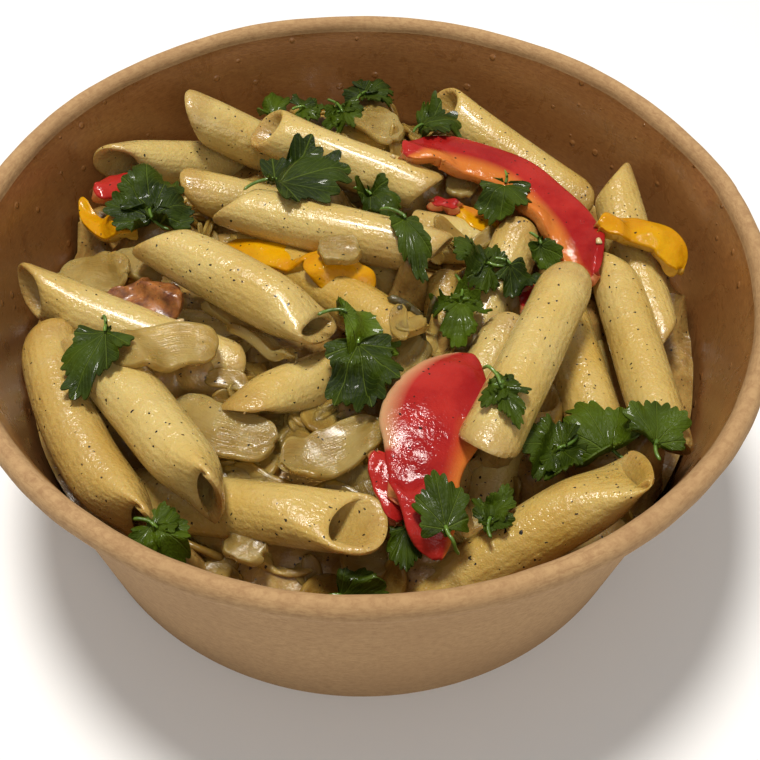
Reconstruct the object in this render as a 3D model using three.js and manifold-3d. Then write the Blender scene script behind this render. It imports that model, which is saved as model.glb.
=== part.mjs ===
// A round kraft paper takeaway bowl, open at the top, filled with penne, pepper strips,
// onion slices and parsley. Millimetres, +Z up, origin at the middle of the foot ring.
import * as THREE from 'three';
import { mergeVertices } from 'three/addons/utils/BufferGeometryUtils.js';
import Module from 'manifold-3d';

const wasm = await Module();
wasm.setup();

// Bowl sizes
const RIM_DIAMETER = 150;
const FOOT_DIAMETER = 128;
const BOWL_HEIGHT = 60;
const BOARD = 0.5;
const RIM_ROLL_WIDTH = 3.8;
const RIM_ROLL_HEIGHT = 4.5;
const FOOT_BAND = 1.2;
const FOOT_RECESS = 6;
const SEAM_LAP = 9;
const SEAM_AZIMUTH = 13;
const BOWL_SIDES = 60;
const RIM_STEPS = 6;

// Food sizes
const PENNE_WALL = 1.3;
const BORE_DEPTH = 9;
const PENNE_SIDES = 10;
const BED_HEIGHT = 39;
const BED_RINGS = 11;
const BED_SECTORS = 44;
const BED_HILLS = [
  { rise: 6, at: [-12, -38], spread: 13 },
  { rise: 9, at: [-8, 54], spread: 11 },
  { rise: 3, at: [0, 0], spread: 26 },
];
const BED_LUMPS = 1.3;
const BED_EDGE_DROP = 2.6;
const PROP_GAP = 1;
const PROP_REACH = 3.5;
const GAP = 0.35;
const RISE = 3;

// Inner radius of the wall at a height, from foot to rim
const INNER_FOOT = FOOT_DIAMETER / 2 - BOARD;
const INNER_RIM = RIM_DIAMETER / 2 - RIM_ROLL_WIDTH;
const innerRadius = (z) => INNER_FOOT + (INNER_RIM - INNER_FOOT) * z / BOWL_HEIGHT;

// Penne, placed by hand: name, the middles of the two cut ends, sideways bow, the turn and slope
// of each cut, diameter, and which ends show an open bore
const PENNE = [
  ['torn_left', [-38, 47, 51], [-3, 48, 30], 0, [180, 1], [180, 1], 10.5, ''],
  ['back_left', [-22, 42, 52], [13, 26, 48], 1, [20, 0.9], [-38, 0.5], 10.5, 'a'],
  ['far_left', [-54, 34, 48], [-22, 56, 31], 0, [115, 1], [115, 1], 10, 'a'],
  ['tucked_left', [-37, 30, 44], [4, 28, 32], 0, [175, 1], [150, 1], 10, ''],
  ['middle_top', [-27, 18, 51], [14, 5, 51], 1, [-38, 0.9], [-38, 0.6], 10.5, ''],
  ['middle_left', [-40, 5, 53], [-8, -17, 53], 0, [-38, 0.9], [150, 0.3], 11, 'b'],
  ['left_tip', [-64, -4, 49], [-24, -18, 42], 0, [80, 1], [60, 0.6], 10.5, 'a'],
  ['left_wall', [-58, -16, 46], [-35, -54, 46], 2.5, [170, 0.8], [-95, 1], 10.5, 'b'],
  ['left_front', [-49, -19, 48], [-24, -52, 52], 0, [-95, 1], [-95, 1], 11, 'b'],
  ['front_open', [-40, -42, 36], [0, -55, 50], 0, [170, 1], [170, 1], 10.5, 'b'],
  ['centre_slit', [-21, -30, 46], [14, -6, 37], 0, [136, 1], [136, 1], 10.5, 'a'],
  ['centre_low', [-29, 23, 33], [9, 6, 42], 0, [0, 1], [0, 1], 10.5, ''],
  ['back_right', [17, 56, 48], [47, 34, 39], 0, [45, 1], [45, 1], 9.8, 'a'],
  ['right_wall', [53, 32, 47], [58, -9, 41], 0, [80, 1], [80, 1], 9.8, ''],
  ['right_front', [50, 8, 45], [52, -37, 48], 0, [-60, 1], [-60, 0.8], 10, ''],
  ['right_inner', [39, 6, 40], [43, -37, 42], 0, [0, 1], [0, 1], 10.5, ''],
  ['top_slanting', [37, -7, 54], [20, -43, 54], 0, [175, 1], [0, 0.8], 10.2, ''],
  ['under_slanting', [26, -30, 43], [16, -60, 30], 0, [0, 1], [0, 1], 10, ''],
  ['front_rim', [12, -61, 38], [44, -48, 56], 0, [140, 1], [140, 1], 10.5, 'b'],
  ['under_herb', [31, 14, 46], [15, -22, 33], 0, [175, 1], [175, 1], 10, ''],
  ['under_slab', [27, -11, 44], [7, -47, 38], 0, [175, 1], [175, 1], 10.2, ''],
  ['pale_low', [32, -22, 42], [26, -56, 24], 0, [0, 1], [0, 1], 10.2, ''],
  ['front_low', [-46, -40, 28], [-10, -53, 38], 0, [0, 1], [170, 1], 10, 'b'],
  ['centre_stub', [16, 3, 43], [16, -24, 30], 0, [175, 1], [0, 1], 8.5, ''],
];

// Strips and slices, lowest first: name, kind, points along the middle, widths there, thickness,
// and the penne that lie over it
const SLICES = [
  ['onion_front_right', 'onion', [[-3, -55, 39], [5, -57, 39]], [8, 7], 1.6, []],
  ['onion_front_left', 'onion', [[-22, -54, 41], [-16, -57, 41]], [6, 5], 1.6, []],
  ['onion_centre_left', 'onion', [[-34, -28, 43], [-26, -34, 44], [-15, -37, 44]], [9, 10, 9], 1.3, []],
  ['onion_centre_right', 'onion', [[-14, -41, 45], [-6, -39, 46], [3, -34, 46]], [7, 10, 7], 1.3, []],
  ['onion_left_small', 'onion', [[-51, 8, 46], [-46, 6, 47], [-40, 2, 46]], [6, 7, 5], 1.5, ['middle_left']],
  ['onion_left_ragged', 'onion', [[-61, 5, 45], [-54, 3, 47], [-46, 0, 47]], [6, 9, 8], 1.2, ['left_tip']],
  ['onion_pink', 'onion', [[17, 30, 46], [24, 28, 46]], [8, 9], 1.4, []],
  ['onion_shred', 'onion', [[11, -14, 46], [7, -20, 46], [4, -28, 47]], [4, 6, 4], 2, []],
  ['pepper_yellow_left', 'yellow', [[-60, 25, 46], [-57, 19, 46], [-52, 15, 46], [-46, 13, 46]],
    [2, 4, 4, 3], 2.6, []],
  ['pepper_yellow_back', 'yellow', [[19, 23, 44], [23, 20, 44], [28, 18, 43]], [4, 6, 5], 2.6, []],
  ['pepper_red_bit', 'red', [[14, 23, 46], [19, 22, 46]], [3, 3], 2.2, []],
  ['pepper_red_chip', 'red', [[32, 1, 44], [32, -5, 44]], [5, 4], 2.2, []],
  ['tomato_chunk', 'tomato', [[-50, -8, 47], [-42, -8, 49], [-34, -6, 48]], [8, 10, 7], 4, ['left_tip']],
  ['pepper_red_left', 'red', [[-57, 26, 48], [-51, 26, 50], [-45, 27, 49]], [6, 8, 6], 3, ['far_left']],
  ['onion_under_left', 'onion', [[-30, -5, 47], [-20, -13, 47], [-12, -21, 47]], [2.5, 3, 2.5], 2,
    ['middle_left']],
  ['pepper_yellow_long', 'yellow', [[-29, 12, 46], [-22, 9, 48], [-15, 6, 49], [-8, 4, 49]],
    [5, 8, 8, 6], 2.6, ['middle_top', 'middle_left']],
  ['pepper_yellow_middle', 'yellow', [[-12, 2, 49], [-5, -1, 50], [2, -4, 48]], [6, 9, 7], 2.6,
    ['middle_left', 'middle_top']],
  ['onion_left_large', 'onion', [[-45, -25, 51], [-38, -22, 53], [-31, -20, 53], [-26, -21, 51]],
    [7, 11, 10, 7], 1.6, []],
  ['onion_back_petal', 'onion', [[-1, 53, 50], [2, 46, 52], [6, 38, 53]], [5, 10, 6], 1.6, []],
  ['onion_square', 'onion', [[-9, 1, 53], [-1, 2, 53]], [6.5, 6.5], 2, []],
  ['pepper_red_arc', 'red', [[8, 29, 53], [14, 33, 54], [22, 32, 54], [31, 28, 53], [37, 21, 52], [42, 11, 51],
    [44, 0, 48]], [7, 10, 10, 10, 10, 9, 6], 2.8, ['top_slanting']],
  ['pepper_yellow_curl', 'yellow', [[46, 11, 51], [53, 11, 53], [59, 8, 53], [62, 3, 49]],
    [7, 8, 8, 6], 2.6, []],
  ['pepper_red_slab', 'red', [[19, -20, 51], [14, -30, 54], [11, -39, 54], [10, -48, 52], [11, -56, 50],
    [12, -61, 46]], [9, 17, 18, 12, 9, 4], 3, ['top_slanting', 'front_rim']],
  ['pepper_red_fold', 'red', [[2, -42, 49], [4, -48, 48], [6, -54, 46]], [4, 5, 4], 2.4, []],
];

// Parsley leaves: name, middle, width, length and the way the tip points
const LEAVES = [
  ['back_large', [-11, 23, 55], 19, 18, 20],
  ['left_sprig', [-44, 19, 51], 16, 18, 100],
  ['back_upright', [-21, 57, 48], 6, 10, 80],
  ['back_small', [-13, 53, 49], 9, 7, 10],
  ['back_dark', [1, 59, 50], 12, 12, 50],
  ['back_strand', [-5, 49, 48], 7, 12, -70],
  ['back_over_bore', [16, 45, 52], 15, 9, 5],
  ['by_onion', [3, 19, 52], 7, 10, -60],
  ['curled_on_penne', [9, 2, 56], 5, 14, -75],
  ['back_right', [28, 20, 49], 9, 10, -100],
  ['centre_top', [22, 4, 50], 11, 11, 150],
  ['centre_stem', [18, -8, 49], 8, 16, -95],
  ['right_dark', [30, -1, 49], 7, 8, -50],
  ['right_small', [36, 5, 48], 5, 9, -70],
  ['centre_bright', [2, -14, 52], 14, 13, 10],
  ['centre_dark', [0, -26, 49], 11, 15, -80],
  ['left_dark', [-47, -26, 53], 10, 13, -110],
  ['on_slanting', [23, -37, 58], 6, 12, -70],
  ['right_bright', [40, -35, 49], 12, 13, 110],
  ['right_low', [31, -40, 48], 11, 11, 190],
  ['right_rim', [49, -37, 54], 9, 10, 80],
  ['on_slab', [12, -54, 54], 11, 12, 100],
  ['by_rim', [21, -53, 48], 6, 9, 60],
  ['front_left', [-31, -57, 47], 9, 9, -30],
  ['front_small', [0, -63.5, 42], 5, 8, 0],
  ['front_dark', [7, -58, 44], 5, 9, -90],
];
const LEAF_THICKNESS = 1;
const LEAF_SECTORS = 15;
const LOBE_COUNT = 6;
const LOBE_SWING = 0.1;
const NOTCH_DEPTH = 0.5;
const NOTCH_ANGLE = 0.4;
const RUFFLE = 0.3;

// Colours of the paper and the food
const material = (color, roughness) => new THREE.MeshStandardMaterial({ color, roughness, metalness: 0 });
const LOOKS = {
  paper: () => material(0xb98a5c, 0.85),
  pasta: () => material(0xdcbd72, 0.35),
  red: () => material(0xc23a2c, 0.3),
  yellow: () => material(0xe0a012, 0.3),
  tomato: () => material(0xc4713a, 0.4),
  onion: () => material(0xc3a76c, 0.3),
  leaf: () => material(0x2f5a22, 0.4),
};

// A closed geometry made a solid, with its faces turned outwards
function solidOf(geometry) {
  const bare = geometry.clone();
  for (const name of ['normal', 'uv']) {
    bare.deleteAttribute(name);
  }
  const merged = mergeVertices(bare, 1e-4);
  const points = merged.getAttribute('position').array;
  const corners = Array.from(merged.index.array);
  const a = new THREE.Vector3();
  const b = new THREE.Vector3();
  const c = new THREE.Vector3();
  let volume = 0;
  const faces = [];
  for (let i = 0; i < corners.length; i += 3) {
    const [p, q, r] = corners.slice(i, i + 3);
    if (p === q || q === r || r === p) continue;
    a.fromArray(points, p * 3);
    b.fromArray(points, q * 3);
    c.fromArray(points, r * 3);
    volume += a.dot(b.cross(c));
    faces.push([p, q, r]);
  }
  const triVerts = new Uint32Array(faces.flatMap(([p, q, r]) => (volume < 0 ? [p, r, q] : [p, q, r])));
  return new wasm.Manifold(new wasm.Mesh({ numProp: 3, vertProperties: new Float32Array(points), triVerts }));
}

// The biggest piece of a solid: loose scraps and sealed hollows are left out
function biggest(solid) {
  const pieces = solid.decompose();
  return pieces.reduce((best, piece) => (piece.volume() > best.volume() ? piece : best));
}

function meshOf(solid, name, look) {
  const { vertProperties, triVerts } = solid.getMesh();
  const geometry = new THREE.BufferGeometry();
  geometry.setAttribute('position', new THREE.BufferAttribute(vertProperties, 3));
  geometry.setIndex(new THREE.BufferAttribute(triVerts, 1));
  geometry.computeVertexNormals();
  const mesh = new THREE.Mesh(geometry, LOOKS[look]());
  mesh.name = name;
  return mesh;
}

// A solid turned round the Z axis from a closed outline of [radius, height] points
function turned(outline) {
  const points = outline.map(([radius, height]) => new THREE.Vector2(radius, height));
  const geometry = new THREE.LatheGeometry(points, BOWL_SIDES);
  geometry.rotateX(Math.PI / 2);
  return solidOf(geometry);
}

// Bowl wall: foot band, sloping board and rolled rim, with the lap of the side seam
function bowlWall() {
  const outer = (z) => innerRadius(z) + BOARD;
  const rollMiddle = RIM_DIAMETER / 2 - RIM_ROLL_WIDTH / 2;
  const rollFoot = BOWL_HEIGHT - RIM_ROLL_HEIGHT;
  const outline = [
    [FOOT_DIAMETER / 2 - FOOT_BAND, 0],
    [FOOT_DIAMETER / 2, 0],
    [outer(rollFoot + 0.6), rollFoot + 0.6],
  ];
  for (let step = 0; step <= RIM_STEPS; step += 1) {
    const turn = THREE.MathUtils.degToRad(-110 + step * 290 / RIM_STEPS);
    const radius = rollMiddle + Math.cos(turn) * RIM_ROLL_WIDTH / 2;
    const height = BOWL_HEIGHT - RIM_ROLL_HEIGHT / 2 + Math.sin(turn) * RIM_ROLL_HEIGHT / 2;
    outline.push([radius, height]);
  }
  outline.push([innerRadius(FOOT_RECESS + FOOT_BAND), FOOT_RECESS + FOOT_BAND]);
  outline.push([FOOT_DIAMETER / 2 - FOOT_BAND, FOOT_RECESS]);
  outline.push([FOOT_DIAMETER / 2 - FOOT_BAND, 0]);
  const lap = new THREE.BoxGeometry(1, 1, 1, 4, 1, 1);
  const place = lap.getAttribute('position');
  for (let i = 0; i < place.count; i += 1) {
    const along = THREE.MathUtils.degToRad(SEAM_AZIMUTH) + place.getX(i) * SEAM_LAP / (RIM_DIAMETER / 2);
    const height = place.getZ(i) > 0 ? rollFoot + 1 : FOOT_RECESS / 3;
    const radius = outer(height) + (place.getY(i) > 0 ? BOARD * 0.7 : -BOARD * 0.5);
    place.setXYZ(i, radius * Math.cos(along), radius * Math.sin(along), height);
  }
  return turned(outline).add(solidOf(lap));
}

// Bowl base: a disc above the foot with its edge turned down inside the foot band
function bowlBase() {
  const edge = FOOT_DIAMETER / 2 - FOOT_BAND - GAP;
  return turned([
    [0, FOOT_RECESS],
    [edge, FOOT_RECESS],
    [edge, 1],
    [edge - BOARD, 1],
    [edge - BOARD, FOOT_RECESS - BOARD],
    [0, FOOT_RECESS - BOARD],
  ]);
}

// The room for food: inside the wall and above the base, with a gap all round
function roomForFood() {
  const floor = FOOT_RECESS + FOOT_BAND + GAP;
  const top = BOWL_HEIGHT + 20;
  return turned([
    [0, floor],
    [innerRadius(floor) - GAP, floor],
    [innerRadius(BOWL_HEIGHT) - GAP, BOWL_HEIGHT],
    [innerRadius(BOWL_HEIGHT) - GAP, top],
    [0, top],
  ]);
}

// Where the toppings need something heaped under them: place, height there and half width
const PROPS = SLICES.flatMap(([, , points, widths, thickness]) => (
  points.map(([x, y, z]) => [x, y, z - thickness - PROP_GAP, Math.max(...widths) / 2])
));
for (const [, [x, y, z], width, length] of LEAVES) {
  PROPS.push([x, y, z - PROP_GAP, Math.min(width, length) / 2]);
}

// Height of the bed of small pasta, onion and sauce under the pieces that show
function bedHeight(x, y) {
  const hills = BED_HILLS.reduce((sum, { rise, at, spread }) => (
    sum + rise * Math.exp(-((x - at[0]) ** 2 + (y - at[1]) ** 2) / (2 * spread ** 2))
  ), 0);
  const lumps = BED_LUMPS * Math.sin(x / 5.2 + 0.6) * Math.cos(y / 6.1);
  const drop = BED_EDGE_DROP * (Math.hypot(x, y) / INNER_FOOT) ** 4;
  const base = BED_HEIGHT + hills + lumps - drop;
  return PROPS.reduce((height, [propX, propY, top, reach]) => {
    const away = Math.hypot(x - propX, y - propY) / Math.max(reach, PROP_REACH);
    return Math.max(height, base + (top - base) * Math.exp(-(away ** 4)));
  }, base);
}

// The bed as a solid: rings of points lifted to its height
function bed(grown) {
  const outline = [[0, 0], [1, 0]];
  for (let ring = BED_RINGS; ring >= 0; ring -= 1) {
    outline.push([ring / BED_RINGS, 1]);
  }
  const geometry = new THREE.LatheGeometry(outline.map(([r, h]) => new THREE.Vector2(r, h)), BED_SECTORS);
  geometry.rotateX(Math.PI / 2);
  const place = geometry.getAttribute('position');
  const floor = FOOT_RECESS + FOOT_BAND + GAP;
  for (let i = 0; i < place.count; i += 1) {
    const top = place.getZ(i) > 0.5;
    const reach = top ? 70 : 64;
    const x = place.getX(i) * reach;
    const y = place.getY(i) * reach;
    place.setXYZ(i, x, y, top ? bedHeight(x, y) + grown : floor);
  }
  return solidOf(geometry);
}

// The line through the middle of a penne, bowed sideways
function penneLine([, a, b, bow]) {
  const start = new THREE.Vector3(...a);
  const end = new THREE.Vector3(...b);
  const along = end.clone().sub(start).normalize();
  const side = new THREE.Vector3().crossVectors(along, new THREE.Vector3(0, 0, 1)).normalize();
  const up = new THREE.Vector3().crossVectors(side, along);
  const middle = start.clone().add(end).multiplyScalar(0.5).addScaledVector(side, bow * 2);
  const curve = new THREE.QuadraticBezierCurve3(start, middle, end);
  return { start, end, along, side, up, curve };
}

// The plane of one slanted cut, facing out of the penne
function cutPlane(line, atEnd, [turn, slope]) {
  const angle = THREE.MathUtils.degToRad(turn);
  const lean = line.up.clone().multiplyScalar(Math.cos(angle)).addScaledVector(line.side, Math.sin(angle));
  const facing = line.along.clone().addScaledVector(lean, -slope).normalize();
  if (!atEnd) facing.negate();
  return { facing, point: atEnd ? line.end : line.start };
}

function penneSolid(row, grown, bored) {
  const [, , , , cutA, cutB, diameter, open] = row;
  const line = penneLine(row);
  const radius = diameter / 2 + grown;
  const section = new THREE.Shape();
  for (let i = 0; i < PENNE_SIDES; i += 1) {
    const angle = i / PENNE_SIDES * Math.PI * 2;
    const point = [radius * Math.cos(angle), radius * Math.sin(angle)];
    if (i === 0) section.moveTo(...point);
    else section.lineTo(...point);
  }
  section.closePath();
  const spare = radius * 1.2;
  const first = line.curve.getPoint(0).addScaledVector(line.curve.getTangent(0), -spare);
  const last = line.curve.getPoint(1).addScaledVector(line.curve.getTangent(1), spare);
  const stops = [first, line.curve.getPoint(0.02), line.curve.getPoint(0.5), line.curve.getPoint(0.98), last];
  const path = new THREE.CatmullRomCurve3(stops);
  const steps = row[3] ? 5 : 1;
  const tube = new THREE.ExtrudeGeometry(section, { steps, extrudePath: path, bevelEnabled: false });
  let solid = solidOf(tube);
  for (const [atEnd, cut] of [[false, cutA], [true, cutB]]) {
    const { facing, point } = cutPlane(line, atEnd, cut);
    const inward = facing.clone().negate();
    solid = solid.trimByPlane(inward.toArray(), inward.dot(point) - grown);
    const letter = atEnd ? 'b' : 'a';
    if (bored && open.includes(letter)) {
      solid = solid.subtract(boreSolid(line, atEnd, radius - PENNE_WALL));
    }
  }
  return solid;
}

// The hollow seen at an open end
function boreSolid(line, atEnd, radius) {
  const reach = radius * 1.5;
  const geometry = new THREE.CylinderGeometry(radius, radius, BORE_DEPTH + reach, 8);
  const outwards = line.curve.getTangent(atEnd ? 1 : 0).multiplyScalar(atEnd ? 1 : -1);
  const middle = (atEnd ? line.end : line.start).clone().addScaledVector(outwards, (reach - BORE_DEPTH) / 2);
  const turn = new THREE.Quaternion().setFromUnitVectors(new THREE.Vector3(0, 1, 0), outwards);
  geometry.applyMatrix4(new THREE.Matrix4().compose(middle, turn, new THREE.Vector3(1, 1, 1)));
  return solidOf(geometry);
}

// What carries a penne: the pasta and sauce right under it, as one block down to the bed
function underneath(row, grown) {
  const [, a, b, , , , diameter] = row;
  const width = diameter * 0.55 + 2 * grown;
  const geometry = new THREE.BoxGeometry(1, 1, 1);
  const place = geometry.getAttribute('position');
  const start = new THREE.Vector3(...a);
  const end = new THREE.Vector3(...b);
  const flat = end.clone().sub(start).setZ(0).normalize();
  for (let i = 0; i < place.count; i += 1) {
    const along = 0.5 + place.getX(i) * 0.76;
    const point = start.clone().lerp(end, along);
    point.x += -flat.y * width * place.getY(i);
    point.y += flat.x * width * place.getY(i);
    point.z = place.getZ(i) > 0 ? point.z - 1 : BED_HEIGHT - 14;
    place.setXYZ(i, point.x, point.y, point.z);
  }
  return solidOf(geometry);
}

function pastaHeap(room, grown, bored) {
  const parts = [bed(grown)];
  for (const row of PENNE) {
    parts.push(penneSolid(row, grown, bored));
    parts.push(underneath(row, grown));
  }
  return biggest(wasm.Manifold.union(parts).intersect(room));
}

// Height of the top of the penne at a place, leaving out those that lie over the topping
function penneTop(x, y, over) {
  let height = 0;
  for (const row of PENNE) {
    if (over.includes(row[0])) continue;
    const radius = row[6] / 2 + GAP;
    const { curve } = penneLine(row);
    for (let i = 0; i <= 16; i += 1) {
      const point = curve.getPoint(i / 16);
      const away = Math.hypot(point.x - x, point.y - y);
      if (away < radius) {
        height = Math.max(height, point.z + Math.sqrt(radius * radius - away * away));
      }
    }
  }
  return height;
}

// Tops of the toppings already laid, in square cells
const CELL = 1;
const CELLS = 160;
const laid = new Float32Array(CELLS * CELLS);
const cellOf = (x, y) => Math.round(x / CELL + CELLS / 2) + CELLS * Math.round(y / CELL + CELLS / 2);

function surface(x, y, over) {
  return Math.max(bedHeight(x, y) + GAP, penneTop(x, y, over), laid[cellOf(x, y)]);
}

// Where a piece lies: on the highest thing within a small reach, partly bridging the gaps
function drape(x, y, over, reach) {
  let near = surface(x, y, over);
  let far = near;
  for (let i = 0; i < 8; i += 1) {
    const angle = i / 8 * Math.PI * 2;
    const step = (size) => surface(x + size * Math.cos(angle), y + size * Math.sin(angle), over);
    near = Math.max(near, step(0.8));
    far = Math.max(far, step(reach));
  }
  return near + (far - near) * 0.6 + GAP;
}

function markLaid(geometry) {
  const place = geometry.getAttribute('position');
  for (let i = 0; i < place.count; i += 1) {
    for (const [dx, dy] of [[0, 0], [1, 0], [-1, 0], [0, 1], [0, -1]]) {
      const cell = cellOf(place.getX(i) + dx * CELL, place.getY(i) + dy * CELL);
      laid[cell] = Math.max(laid[cell], place.getZ(i) + GAP);
    }
  }
}

// A strip or slice: a box whose points follow a line and are laid on what is below
function sliceGeometry([, , points, widths, thickness, over], grown) {
  const route = points.map((point) => new THREE.Vector3(...point));
  const curve = new THREE.CatmullRomCurve3(route, false, 'centripetal');
  const steps = Math.max(4, Math.round(curve.getLength() / 4));
  const geometry = new THREE.BoxGeometry(1, 1, 1, steps, 2, 1);
  const place = geometry.getAttribute('position');
  for (let i = 0; i < place.count; i += 1) {
    const along = place.getX(i) + 0.5;
    const across = place.getY(i) * 2;
    const middle = curve.getPoint(along);
    const heading = curve.getTangent(along).setZ(0).normalize();
    const slot = along * (widths.length - 1);
    const from = Math.min(Math.floor(slot), widths.length - 2);
    const rounding = 1 - 0.35 * Math.abs(2 * along - 1) ** 6;
    const width = THREE.MathUtils.lerp(widths[from], widths[from + 1], slot - from) * rounding;
    const wobble = 1 + 0.06 * Math.sin(along * 17 + across * 2);
    const off = across * width / 2 * wobble;
    const x = middle.x - heading.y * off;
    const y = middle.y + heading.x * off;
    const arch = -0.05 * width * across * across;
    const lowest = middle.z - thickness;
    const bottom = THREE.MathUtils.clamp(drape(x, y, over, 3), lowest, lowest + RISE) + arch;
    const lift = place.getZ(i) > 0 ? thickness + grown : -grown;
    const end = grown * (2 * along - 1);
    const side = grown * across;
    const outX = heading.x * end - heading.y * side;
    const outY = heading.y * end + heading.x * side;
    place.setXYZ(i, x + outX, y + outY, bottom + lift);
  }
  return geometry;
}

// A parsley leaf: a thin disc with lobes, teeth and waves, laid on what is below
function leafGeometry([, middle, width, length, tip], grown) {
  const outline = [[0, 0], [0.5, 0], [1, 0], [1, 1], [0.5, 1], [0, 1]];
  const geometry = new THREE.LatheGeometry(outline.map(([r, h]) => new THREE.Vector2(r, h)), LEAF_SECTORS);
  geometry.rotateX(Math.PI / 2);
  const place = geometry.getAttribute('position');
  const heading = THREE.MathUtils.degToRad(tip);
  for (let i = 0; i < place.count; i += 1) {
    const rho = Math.hypot(place.getX(i), place.getY(i));
    const theta = Math.atan2(place.getY(i), place.getX(i));
    const notch = NOTCH_DEPTH * Math.exp(-(((Math.PI - Math.abs(theta)) / NOTCH_ANGLE) ** 2));
    const lobes = 1 - LOBE_SWING + LOBE_SWING * Math.cos(LOBE_COUNT * theta) - notch;
    const ahead = rho * lobes * Math.cos(theta) * length / 2;
    const aside = rho * lobes * Math.sin(theta) * width / 2;
    const x = middle[0] + ahead * Math.cos(heading) - aside * Math.sin(heading);
    const y = middle[1] + ahead * Math.sin(heading) + aside * Math.cos(heading);
    const wave = RUFFLE * (Math.sin(ahead * 0.9) * Math.cos(aside * 0.8) + 1);
    const rest = THREE.MathUtils.clamp(drape(x, y, [], 2), middle[2] - RISE, middle[2] + RISE);
    const lift = place.getZ(i) > 0.5 ? LEAF_THICKNESS + grown : -grown;
    const side = rho > 0.9 ? grown : 0;
    const out = theta + heading;
    place.setXYZ(i, x + side * Math.cos(out), y + side * Math.sin(out), rest + wave + lift);
  }
  return geometry;
}

const room = roomForFood();
const heap = pastaHeap(room, 0, true);
const heapWithGap = pastaHeap(room, GAP, false);
const bowl = new THREE.Group();
bowl.add(meshOf(bowlWall(), 'bowl_wall', 'paper'));
bowl.add(meshOf(bowlBase(), 'bowl_base', 'paper'));
bowl.add(meshOf(heap, 'pasta_heap', 'pasta'));

// Each topping is laid in turn and keeps clear of the heap and of those laid before it
const kept = [];
function addTopping(name, look, shape) {
  const geometry = shape(0);
  let solid = solidOf(geometry).intersect(room).subtract(heapWithGap);
  for (const other of kept) {
    solid = solid.subtract(other);
  }
  solid = biggest(solid);
  bowl.add(meshOf(solid, name, look));
  kept.push(solidOf(shape(GAP)));
  markLaid(geometry);
}
for (const row of SLICES) {
  addTopping(row[0], row[1], (grown) => sliceGeometry(row, grown));
}
for (const row of LEAVES) {
  addTopping(`parsley_${row[0]}`, 'leaf', (grown) => leafGeometry(row, grown));
}

export default bowl;
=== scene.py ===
# %% [markdown]
# A round kraft paper takeaway bowl, filled with penne, pepper strips, onion and parsley.
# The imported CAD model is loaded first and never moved. It gives the frame, in metres with
# +Z up, and every piece made here stands over the solid of the same place in it.

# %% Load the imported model
import math
import random

import bpy
import numpy as np
from mathutils import Matrix, Vector
from mathutils.bvhtree import BVHTree


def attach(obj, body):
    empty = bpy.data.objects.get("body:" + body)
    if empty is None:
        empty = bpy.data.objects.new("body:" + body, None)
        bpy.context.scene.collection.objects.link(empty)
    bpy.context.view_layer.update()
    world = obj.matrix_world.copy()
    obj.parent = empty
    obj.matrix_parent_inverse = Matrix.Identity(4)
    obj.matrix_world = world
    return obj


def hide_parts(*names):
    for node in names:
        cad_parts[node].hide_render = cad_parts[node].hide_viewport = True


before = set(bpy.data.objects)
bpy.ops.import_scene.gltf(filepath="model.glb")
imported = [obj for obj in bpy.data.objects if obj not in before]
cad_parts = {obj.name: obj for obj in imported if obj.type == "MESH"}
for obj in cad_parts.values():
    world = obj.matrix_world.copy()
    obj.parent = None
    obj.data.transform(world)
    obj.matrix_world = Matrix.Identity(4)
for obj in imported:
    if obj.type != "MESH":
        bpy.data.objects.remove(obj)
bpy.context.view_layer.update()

# %% [markdown]
# The photograph looks down into the bowl from the front. Its camera was found by fitting
# the two ellipses of the rim and the foot, so it is written here as a picture size, a focal
# length in pixels, a distance and four angles in radians. The lens follows from the first two.

# %% Camera at the photograph's angle
MM = 0.001
PICTURE_PIXELS = 760
FOCAL_PIXELS = 988.4
SENSOR_MM = 36.0
CAMERA_DISTANCE = 230.03 * MM
CAMERA_ELEVATION = 0.94795
CAMERA_PAN = -0.01619
CAMERA_TILT = 0.04658
CAMERA_ROLL = -0.01061


def add_camera():
    back = Vector((0, -math.cos(CAMERA_ELEVATION), math.sin(CAMERA_ELEVATION)))
    forward = -back
    right = Vector((1, 0, 0))
    up = right.cross(forward)
    pan = Matrix.Rotation(CAMERA_PAN, 3, up)
    forward, right = pan @ forward, pan @ right
    tilt = Matrix.Rotation(CAMERA_TILT, 3, right)
    forward, up = tilt @ forward, tilt @ up
    roll = Matrix.Rotation(CAMERA_ROLL, 3, forward)
    right, up = roll @ right, roll @ up
    bpy.ops.object.camera_add(location=back * CAMERA_DISTANCE)
    camera = bpy.context.object
    camera.name = "photo_camera"
    camera.rotation_euler = Matrix((right, up, -forward)).transposed().to_euler()
    camera.data.sensor_width = SENSOR_MM
    camera.data.lens = FOCAL_PIXELS / PICTURE_PIXELS * SENSOR_MM
    camera.data.clip_start = 0.01
    bpy.context.scene.camera = camera
    return camera


print("lens in mm:", round(add_camera().data.lens, 2))

# %% [markdown]
# The food in the photograph lies under one broad, soft ceiling light. A large area light
# stands almost overhead, a weaker one fills from the viewer's side, and a pale sky lifts the
# shadows, as white kitchen walls do. The floor is a plain pale sheet.

# %% Floor and studio light
FLOOR_SIZE = 4.0
LAMPS = [
    ("ceiling_light", (-0.08, 0.12, 0.75), 0.16, 5.2, (1.0, 0.965, 0.91)),
    ("front_fill", (0.25, -0.65, 0.55), 0.60, 1.4, (1.0, 0.97, 0.93)),
]


def add_lamp(name, place, size, watts, colour):
    bpy.ops.object.light_add(type="AREA", location=place)
    lamp = bpy.context.object
    lamp.name = name
    lamp.data.shape = "DISK"
    lamp.data.size = size
    lamp.data.energy = watts
    lamp.data.color = colour
    lamp.rotation_euler = Vector(place).to_track_quat("Z", "Y").to_euler()


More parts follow.
